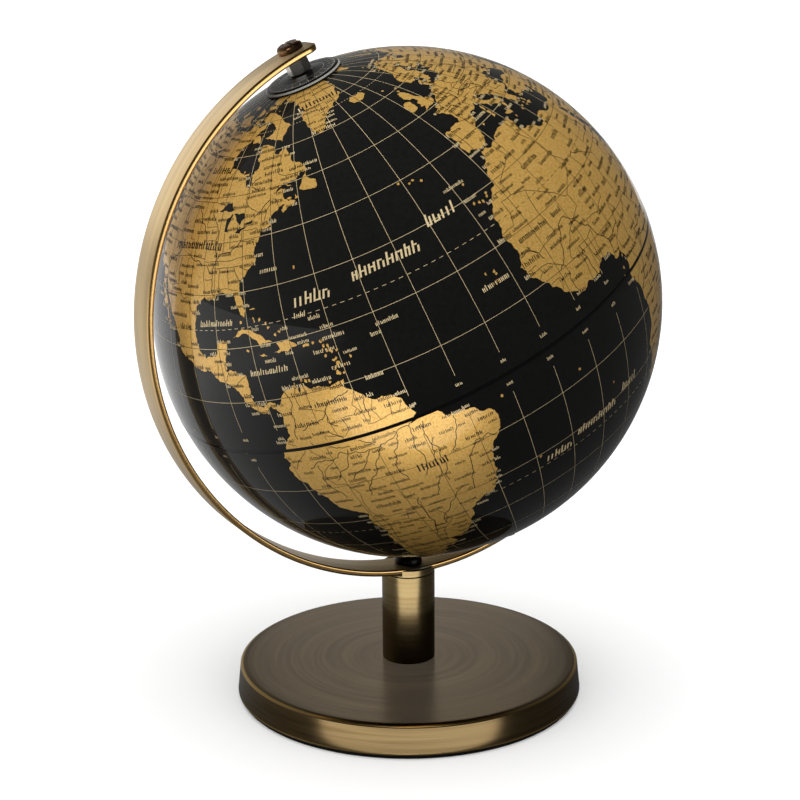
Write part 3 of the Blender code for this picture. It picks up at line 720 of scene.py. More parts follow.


# The outlines are drawn at atlas-sketch accuracy.
# North and Central America, South America, Europe and Asia, Africa, Australia, Antarctica
# and Greenland.
MAINLANDS = outlines("""
-77.5 7.5 -78.2 8.3 -79.5 9 -80.4 8.2 -80.4 7.4 -81.7 7.6 -83 8.3 -83.7 8.6 -84.8 9.8 -85.8 10.2
-85.7 11 -87.5 12.8 -88.5 13.2 -90 13.8 -91.5 14 -92.3 14.6 -93.9 16 -95.2 16.2 -96.5 15.7 -98.5
16.3 -99.9 16.8 -101.7 17.7 -103.5 18.3 -105 19.4 -105.6 20.4 -105.3 21.5 -106.4 23.2 -108 25.2
-109.3 26 -110.5 27.5 -112.2 29.2 -113.1 31.2 -114.8 31.8 -114.7 30.5 -113.5 29 -111.8 26.8 -111.3
25.8 -110.6 24.3 -109.5 23.1 -111.6 24.5 -112.2 26.1 -114 27.1 -115 27.8 -114.1 28.2 -115.7 29.8
-116.3 31 -117.2 32.6 -118.4 34 -120.6 34.5 -121.9 36.6 -122.5 37.7 -123.8 39.2 -124.3 40.4 -124.5
42.9 -124 44.8 -124 46.3 -124.7 48.4 -122.5 47.5 -122.8 48.8 -124.8 50 -127.3 50.9 -128 52.5 -130
54.3 -131.5 55.5 -133.5 57.5 -135 58.8 -136.8 58.2 -139.5 59.6 -145 60.6 -148 60.2 -151.8 59.3
-150.5 61.2 -152.5 60.8 -154 59.2 -156.5 57.3 -158.5 56 -161.5 55.1 -164.8 54.6 -162 55.8 -158.6
56.9 -157.5 58.6 -162 58.7 -163.5 59.8 -165.5 61.5 -164.8 63 -161 63.6 -161 64.5 -165 64.5 -168
65.6 -164 66.5 -162 66.3 -164.5 68 -166.5 68.4 -163 69.5 -156.6 71.3 -152 70.8 -146 70.1 -141 69.7
-136.5 68.9 -134 69.5 -129 70 -127.5 70.5 -124.5 69.5 -121 69.8 -115 68.5 -114 67.8 -109 67.8 -104
68 -98 67.7 -95.5 68 -94.5 70 -95.5 71.8 -92.8 71.3 -91.5 69.5 -88 68.5 -85.5 69.7 -82 69.5 -81.5
68 -86 66.3 -87.3 64.8 -91 63.5 -93.5 61.5 -94.8 60 -94.6 58.8 -92.5 57 -88 56.4 -85 55.3 -82.3
55.1 -82.3 53 -81 51.8 -79.5 51.2 -78.8 52.5 -79.6 54.5 -77 55.8 -76.7 57.3 -78.5 58.8 -77.3 60 -78
62.3 -74.5 62.2 -71.5 61.3 -69.7 60.3 -69.5 58.8 -67.5 58.3 -65 60 -63.5 59 -61.8 57.5 -61.5 56 -60
54.8 -57.8 54.3 -56 52.8 -56 51.6 -58.8 51.3 -60.5 50.2 -65 50.3 -67 49.5 -69 48.2 -70.8 47.2 -68.5
48.4 -66 49.2 -64.3 48.8 -65.3 47.7 -64.8 46.5 -63.5 45.8 -61.5 45.7 -61 45.3 -63.5 44.6 -65.6 43.5
-66.2 44.3 -64.8 45.4 -67 45 -69 44.2 -70.5 43.3 -70.8 42.6 -70 41.8 -71.5 41.4 -73.8 40.9 -74 40
-75 38.9 -75.3 39.5 -75.9 37.3 -76.4 39.2 -76.3 37 -75.6 35.4 -77 34.6 -78.5 33.8 -80.7 32.3 -81.4
30.8 -80.6 28.4 -80.1 26.5 -80.6 25.2 -81.7 25.9 -82.7 27.8 -82.9 29.1 -84.2 30 -85.4 29.8 -87.5
30.3 -89.3 30.3 -89.3 29.2 -91 29.2 -93.8 29.7 -95 29.2 -97 28 -97.4 26.5 -97.8 24 -97.8 22.3 -97.2
20.6 -96.2 19.2 -94.8 18.3 -92.8 18.5 -91.2 18.7 -90.5 20 -90.3 21.1 -88 21.6 -86.8 21.4 -87.6 19.6
-88.2 18.4 -88.3 17.2 -88.8 15.9 -86 15.9 -83.3 15 -83.4 13 -83.7 11 -82.5 9.3 -81 8.8 -79.6 9.6
-78 9.4 -77.4 8.6 / -77.4 8.6 -75.6 10.6 -74.8 11.1 -73 11.5 -71.8 12.4 -71.3 11.2 -71.7 9.5 -71
10.6 -70 12.1 -69.8 11.5 -68.2 10.6 -66 10.5 -64.5 10.2 -62 10.7 -61.8 9.8 -60 8.5 -58.5 7.3 -57.3
6.1 -55 5.9 -53 5.4 -51.6 4.4 -50.7 2 -50 0.9 -51.2 0 -50.6 -0.6 -51.4 -1.4 -48.5 -0.8 -47 -0.6
-44.8 -1.5 -44.2 -2.7 -41.5 -2.9 -39.5 -3.1 -37.2 -4.8 -35.4 -5.2 -34.8 -7.5 -35.2 -9.2 -37 -11
-38.5 -13 -39 -15 -39.1 -17.5 -40 -20 -41 -22 -42.3 -23 -44.8 -23.3 -46.5 -24.1 -48.4 -25.7 -48.6
-28 -50 -29.8 -51.2 -31.5 -53 -33.5 -55 -34.9 -57.5 -34.4 -58.4 -34 -57.3 -35.5 -57 -36.6 -58.5
-38.4 -62 -39 -62.3 -40.7 -65 -41 -63.7 -42.6 -65.3 -44.5 -67.4 -46 -65.8 -47.4 -67.8 -49.8 -69.1
-50.8 -68.4 -52.3 -65.2 -54.7 -68 -55.5 -71.5 -54 -74 -52.5 -75.4 -49 -74.3 -46.5 -72.8 -43 -73.8
-41 -73.3 -38 -72.6 -35.5 -71.6 -33 -71.5 -30 -70.9 -27 -70.4 -23.5 -70.3 -18.5 -72.5 -17 -75.5
-15.3 -76.3 -13.8 -77.7 -11 -79 -8.2 -81 -6 -81.3 -4.6 -80 -3.3 -81 -2 -80.2 0 -79 1.6 -77.5 2.8
-77.3 4.2 -77.5 5.8 -77.5 7.5 / -9.5 38.7 -8.8 41.5 -9.2 43.2 -5 43.6 -1.8 43.4 -1.2 44.8 -1.2 46
-2.5 47.3 -4.7 48.3 -1.6 48.7 -1.8 49.7 0.2 49.6 1.6 50.8 3.5 51.5 4.8 53 7 53.6 8.7 53.9 8.2 55.5
8.2 57 10.6 57.7 10.3 56.5 9.8 55.2 11 54.2 13.5 54.5 14.3 53.9 18.5 54.8 19.9 54.7 21 55.8 21.5
57.5 23 57.2 24.3 57.3 23.7 58.8 26 59.6 30 60 27 60.5 23 59.9 21.3 60.8 21.5 62.8 24.5 64.8 25
65.5 22.2 65.8 21 64.5 18 62.7 17.2 61 18.8 60 16.6 58 16 56.4 14.2 55.5 12.9 55.6 12.5 56.8 11.2
59 8.5 58.2 6 58.5 5.2 60 5.2 61.8 8 63.3 10.5 64.2 12.5 66 14.5 67.8 17.5 69 20.5 70 25.5 71 30.5
70.2 33 69.4 40 67.5 41 66.5 38 66 34.5 66.7 32.5 67.1 34.7 64.5 37.5 63.9 40.5 64.6 42 66.4 44
66.2 44 68.3 46 66.9 53 68.5 58 68.8 60.5 69.8 65 69.1 68.5 68.3 67 71 70 73 73 71.5 72.5 68 74.5
67 75 69 80.5 72 81 73.6 87 74.9 98 76.3 104.5 77.5 112 76.3 108 73.7 113 73.6 122 73 128 72.5 130
70.9 139 71.6 140 72.6 150 71.5 160 69.7 170 69.6 176 69.8 180 68.9 185 67.5 189.5 66.1 186 64.4
177.5 64.6 179 62.5 174 61.7 170 60 163.5 59.8 162.5 58 163 56.1 160 53.2 156.8 51 155.8 55 156
57.5 161.5 60.2 163.5 61.8 160 61.8 156 61.5 154 59.5 149 59.5 142 59 135.5 54.8 139.5 54 141.3
52.5 140.5 48.5 136 45 133 42.8 130.7 42.3 127.5 39.8 129.4 37 129 35.2 126.5 34.4 126.6 37.2 125
38 125 39.6 121.5 38.9 122 40.6 118 39.1 119 37.3 122.4 37 119.5 35 121.9 31.8 122 29.9 119.5 25.5
116.7 23.2 113.5 22.2 110.5 21.2 110 20.3 108 21.6 105.8 19 108.8 15.3 109.3 12 106.7 10.3 104.8
8.7 105 10.3 102.5 12 100.9 13.4 100 12 99.3 9.5 100.4 7.2 102.5 6.2 103.4 4.3 103.7 1.4 101.3 2.8
100.4 5.5 98.3 8 98.7 10.3 97.7 14.8 97 17 94.4 16 94 19 92 21.5 90.5 22.6 87 21.5 85 19.6 82.3
16.7 80.2 15 80.2 13 79.8 10.4 77.6 8.1 76.3 9.9 74.8 13 73.3 16.5 72.8 20 72.2 21.2 70.4 20.8 69
22.3 70.3 23 67.4 24 66.7 25 61.6 25.1 57.2 25.8 56.4 27.1 53.5 26.6 51.4 27.9 49.8 30.1 48 30 48.5
28.3 50.2 26.5 50.8 24.8 51.6 24.4 54.2 24.1 56.3 26.2 56.6 24.4 59.8 22.5 57.7 19.5 55.2 17.2 52.2
15.6 48.5 14 45 12.8 43.4 12.8 42.7 16 40.8 19.5 39 22 37 25 35 28.1 34.9 29.5 34.3 27.8 32.6 29.9
32.3 31.3 34.3 31.3 35.1 33 35.9 35.5 36 36.8 34 36.3 32.3 36.1 30.6 36.8 28.3 36.7 27.2 37.2 26.3
38.5 26.2 40 28.9 40.9 29.2 41.2 31.3 41.3 35 42 38 41 41.5 41.5 39 44 37 45 38.2 47 35 46.2 36.5
45.3 34 44.4 33 45.9 30.8 46.4 28.8 44.9 27.9 43 28 41.8 28.9 41.3 26.5 40.7 23.8 40.2 22.8 39.5 24
38 22.8 36.6 21.3 37.5 20 39.4 19.4 41.5 17.5 43 15.2 44.4 13.7 45 12.4 45.3 12.4 44 14 42.4 16
41.9 18.4 40.3 17 40.4 17 39 15.8 38 15.9 39.5 14.5 40.7 12.2 41.8 10.3 43.2 8.8 44.4 6.5 43.2 4.5
43.4 3.1 43 3.2 41.9 0.5 40.6 -0.2 39 -0.8 37.7 -2.2 36.8 -5.5 36.1 -7 37.1 -8.9 37 / -5.9 35.8 -2
35.2 3 36.8 9.8 37.3 11 36.8 10.2 34.2 12 32.9 15.2 32.4 18 30.6 20 30.9 20.2 32.4 23 32.6 25 31.6
29 30.9 31 31.5 32.3 31.3 32.6 29.9 34 26.5 35.5 24 37.2 21 37.5 18.5 39.5 15.5 43 12.5 43.3 11.4
46 10.8 51.2 11.8 50.8 9.3 48 4.5 44 1 41.5 -1.8 39.5 -4.5 39 -7 40.5 -10.5 40.7 -15 36.8 -18 34.8
-20 35.5 -24 32.8 -26 32 -28.8 29 -32.3 25.7 -34 20 -34.8 18.4 -34.2 18 -32 16.5 -28.5 14.5 -23
11.8 -17.5 13.7 -12 13.2 -8.7 12 -5 9.5 -2 9.3 0.5 9.8 3 8.8 4.6 6 4.3 4.3 6.3 1.2 6 -2 4.8 -4.5
5.2 -7.6 4.4 -9.3 5.6 -11.4 6.8 -13.2 8.5 -13.6 9.7 -15 10.9 -16.7 12.3 -16.7 13.5 -17.5 14.7 -16.5
16 -16.2 19 -17 21 -16 23.7 -14.5 26.1 -12.9 27.9 -10.2 29.3 -9.8 31.4 -8.5 33.3 -6.8 34.1 / 114.2
-22 117 -20.7 121.5 -19 122.3 -17.2 125 -15 129 -15 130.5 -12.5 132.5 -11.3 136.8 -12.2 135.6 -15
139.5 -17.5 141 -16 141.7 -12.8 142.5 -10.8 143.8 -14.3 146 -18.5 149 -20.7 151 -23.5 153.2 -25.5
153.5 -28.5 152.5 -32.3 150.2 -36 149.9 -37.5 146.5 -38.9 143.5 -38.8 140.5 -38 138.2 -35.5 137.8
-33 135.5 -34.7 134 -32.7 131 -31.6 125.5 -32.5 123.5 -33.9 118 -35 115.1 -34.2 115.7 -31.8 113.4
-26 / -180 -78 -160 -77.5 -150 -76 -130 -74 -110 -74 -100 -72.5 -85 -73 -75 -71.5 -68 -68 -62 -64.5
-57 -63.3 -60 -65 -62 -70 -61 -75 -50 -78 -35 -78 -25 -74.5 -12 -71.5 0 -70 20 -70 38 -69.5 50 -67
60 -67.5 70 -69.5 80 -68 95 -66.3 115 -66.5 135 -66 150 -68.5 168 -72 165 -77.5 / -45 60 -48.5 61
-51.5 64 -53.5 67 -54 69.5 -51 70.3 -54.5 71.5 -57 74 -60 76 -68 76.2 -71 77.5 -73 78.3 -65 80.5
-58 82 -45 82.2 -35 83.5 -22 82.5 -18 80.3 -20 77 -20 74 -23.5 72.5 -22 70.5 -26 69 -32 68 -38 65.8
-41 63.5 -42.5 61
""")
ISLANDS = outlines("""
-22.7 63.9 -24 65.5 -22 66.4 -18 66.1 -15 66.3 -13.7 65 -18 63.5 / -66 62 -72 63.5 -78 64.5 -73.5
65.5 -72.5 67.5 -77 69.5 -85 70 -89 71.5 -85 73.7 -80.5 73.5 -76 72.5 -71 71 -67.5 69 -62 66.8 -64
65 / -105 69 -114 69.3 -117 70.2 -118 71.5 -113 73 -106 73 -104.5 71 -101.5 69.8 / -121 71.5 -125
71.9 -123 74.3 -118 73.2 / -78 76.5 -88 77 -90 79 -88 81 -80 83 -65 82.7 -62 82 -72 79.5 -77 78 /
-80 75 -91 75 -93 76.5 -85 76.3 / -95 73 -100 72.5 -102 76 -95 75 / -108 75 -116 75.3 -116 76.4
-109 76.2 / -81 64 -86 63.6 -87 65.5 -84 65.9 / -59.3 47.7 -57.5 50 -55.7 51.6 -56 50 -53 48.5
-53.5 46.7 -56 46.9 / -64.3 49.9 -61.8 49.1 -63.5 49.3 / -64 46.5 -62.2 46.4 -63 46 / -61 46.9 -60
46 -61.2 45.7 / -123.4 48.4 -128 50.7 -125.5 50.2 / -131.2 52.2 -133 54 -131.8 54 / -152.5 57.5
-154.5 57.3 -152.6 58.4 / -84.9 21.9 -83 23 -80.5 23.1 -77 21.8 -74.2 20.2 -77.5 19.9 -78.3 21 -82
22.5 / -74.4 18.3 -72.7 18.6 -73.3 19.7 -72.5 19.9 -70 19.8 -68.4 18.6 -71 17.9 -72 18.2 / -78.3
18.2 -77 18.4 -76.3 17.9 -77.5 17.9 / -67.2 18.4 -65.7 18.4 -65.8 18 -67.2 18 / -78.4 25 -78 25.1
-77.8 24.2 -78.1 24.1 / -78.9 26.6 -77.9 26.8 -77.1 26.5 -78.2 26.5 / -61.8 10.7 -61 10.8 -61.1
10.1 -61.8 10.1 / -5.5 50.1 -3 50.7 1.3 51.2 1.6 52.6 0.3 53.1 -0.2 54 -1.6 55.5 -2 57.6 -3.2 58.5
-5 58.5 -6 56.5 -4.8 55 -3.2 54.8 -3 53.5 -4.5 53.2 -4.2 52.2 -5.1 51.8 -3.5 51.4 -4.2 51.1 / -6.2
52.2 -6 53.5 -5.7 54.6 -7.5 55.2 -10 54.2 -9.5 53 -10.2 51.8 -8 51.8 / 11 79.5 15 77 17 76.7 21
78.5 27 80 18 80.2 / 52 71.5 57 70.7 56 73 61 75.3 68.5 76.9 60 76 54 73.7 / 95 79 100 78 105 79 97
81 / 138 73.5 143 73.5 146 75 139 75.8 / 8.6 41.2 9.5 42 9.3 43 8.7 42.5 / 8.3 39 9.6 39.2 9.6 41
8.4 41 / 12.5 38 15.5 38.2 15.2 36.8 12.6 37.6 / 23.6 35.4 26.2 35.2 24.8 34.9 / 32.4 35 34.4 35.6
33.6 34.8 / 10.6 55.6 12.5 56 12.2 55 11 55.2 / 18.2 57 19 57.8 18.6 57.8 / 131 34 135.5 33.6 138.5
34.7 140.8 35.6 142 39.5 141.3 41.4 140 40.5 139.5 38.2 136.8 37 135.8 35.6 132.8 35.5 / 130 33.5
131.8 33.3 131.2 31.3 130.2 31.5 / 132.5 33.6 134.5 34.2 133.5 33 132.6 33 / 140.3 42 143.2 42.1
145.3 43.4 141.9 45.4 141.4 43.3 / 142 46.5 143.5 49 143 54.2 141.9 52 / 120.2 23.2 121.6 25.2
120.9 22 / 108.8 19.2 110.8 20 110 18.4 / 120.5 16 120.8 18.5 122.2 18.3 121.6 15.8 124 13 122.5
13.6 120.6 14 / 122 7 123.5 8.6 125.5 9.6 126.4 7.5 125.5 6 124 6.6 / 123 10.8 124.7 11.4 123.8 9.5
/ 117.4 8.5 119.5 11.3 118.3 9.4 / 109 1.8 111.3 2.6 113.2 3.5 116.7 7 119 5.2 117.6 3.5 118.8 1
117 -1 116 -3.8 114.5 -4 111.5 -3.3 110 -1.5 / 95.3 5.5 97.5 5.2 100.5 2.2 103.5 -0.5 106 -3 105.8
-5.8 104 -5.8 101.5 -3 98.7 1.5 / 105.2 -6.8 108.5 -6.6 112.5 -6.8 114.5 -8.5 110 -8.1 106.5 -7.4 /
119.8 0.6 120.8 1.3 125 1.5 121 0.5 120.3 -0.9 123.3 -0.9 121.7 -2 122.8 -4.5 121 -4.8 120.4 -3
119.5 -5.5 118.9 -2.8 / 131 -0.8 134 -0.8 135 -3.3 138 -1.7 141 -2.6 145 -4.4 147.8 -6.2 147 -6.8
150.8 -10.3 147.5 -10 144 -7.7 141 -9.1 138 -8.2 138 -5.5 133 -4 132 -2.8 / 148.5 -5.7 152 -4.2 150
-6.3 / 115.2 -8.3 119 -8.4 117 -9 / 119.5 -8.3 123 -8.4 120 -9 / 123.5 -10.2 127.2 -8.4 124.5 -9 /
144.7 -40.8 148.3 -40.9 147.8 -43 146 -43.5 / 172.8 -34.5 175.5 -36.8 178.4 -37.7 176.8 -40 175
-41.5 173.8 -39.3 174.6 -37.8 / 172.7 -40.6 174.2 -41.6 171 -44.5 169 -46.6 166.6 -46 170.5 -42.8 /
49.3 -12 50.3 -15.5 47.3 -25 44 -25 43.5 -21.5 44.3 -19.5 44.5 -16.2 47.5 -14.8 / 80.2 9.7 81.8 7.5
80.6 6 79.8 7.5 / -61 -51.4 -58 -51.5 -59.5 -52.3 / 164 -20.2 167 -22.3 165.5 -21.8 / -155.9 20.2
-154.9 19.5 -155.7 19
""")
LAKES = outlines("""
-92 46.8 -89.5 48 -86.5 48.6 -84.6 46.8 -87.5 46.5 / -87.8 42.3 -87.5 45 -85 46 -86.3 44 -86.4 42 /
-84.5 46 -80.5 45.8 -80 44.6 -81.7 43.2 -83.5 45 / -83.3 41.8 -79 42.8 -81.5 41.5 / -79.6 43.3
-76.3 44 -76.8 43.3 / -98.5 53.5 -96.5 50.5 -97 53.2 / -116 61.5 -110 62.5 -114 61 / -124 66 -119
67 -121 65 / 49.5 46.3 53 46.8 53 45.2 51 44.5 52.8 42.5 53 40 53.9 37 51 36.8 49 37.6 49 40.3 47.6
42.8 / 31.8 -0.5 34.2 0.2 34 -1 32.5 -2.6 / 104 51.5 109.5 55.5 109 53 105 51.4 / 58.5 44 60 46.5
61.5 45.5 60 43.7 / 29.3 -3.5 31 -8.5 29.8 -6 / 30.5 61.5 32.5 60.5 31.5 60
""")
# Islands too small for an outline: their middles.
DOTS = outlines("""
-61.6 16.2 -61 14.6 -61 13.9 -61.2 13.2 -59.6 13.1 -61.7 12.1 -61.8 17.1 -63 18.2 -62.7 17.3 -64.8
18.3 -68.3 12.1 -69 12.2 -70 12.5 -64 11 -81.2 19.3 -64.8 32.3 -75 23.6 -74.5 22.8 -76.5 24.5 -73.1
21.3 -71.9 21.8 -16.9 32.7 -17.9 28.6 -16.5 28.3 -15.6 28 -14 28.4 -13.6 29 -25 17 -23 16.7 -22.9
16.1 -23.5 15 -24.4 14.9 -25.2 37.8 -27.2 38.7 -28.4 38.5 -31.1 39.5 6.6 0.2 8.7 3.5 7.4 1.6 -5.7
-16 -14.4 -8 -29 -20.5 -32.4 -3.9 -90.5 -0.5 -91.2 -0.8 -78.8 -33.6 -109.4 -27.1 55.5 -21.1 57.6
-20.3 55.5 -4.6 43.3 -11.7 73.5 4.2 93 12 -157.9 21.4 -159.5 22 -156.4 20.8 178 -17.8 179.5 -16.5
-172 -13.7 -149.5 -17.6 167.5 -15.5 168.5 -17.7 159.8 -9.5 157 -8 161 -9 144.8 13.4 134.5 7.4 -6.9
62 -1.3 60.3 -3 59 3 39.6 2.9 39.6 14.4 35.9 127.8 26.5 -37 -54.3 70 -49.3 -170 57.1 -176.6 51.9
-168 53.5 -166 54 -81.9 24.6
""")[0]
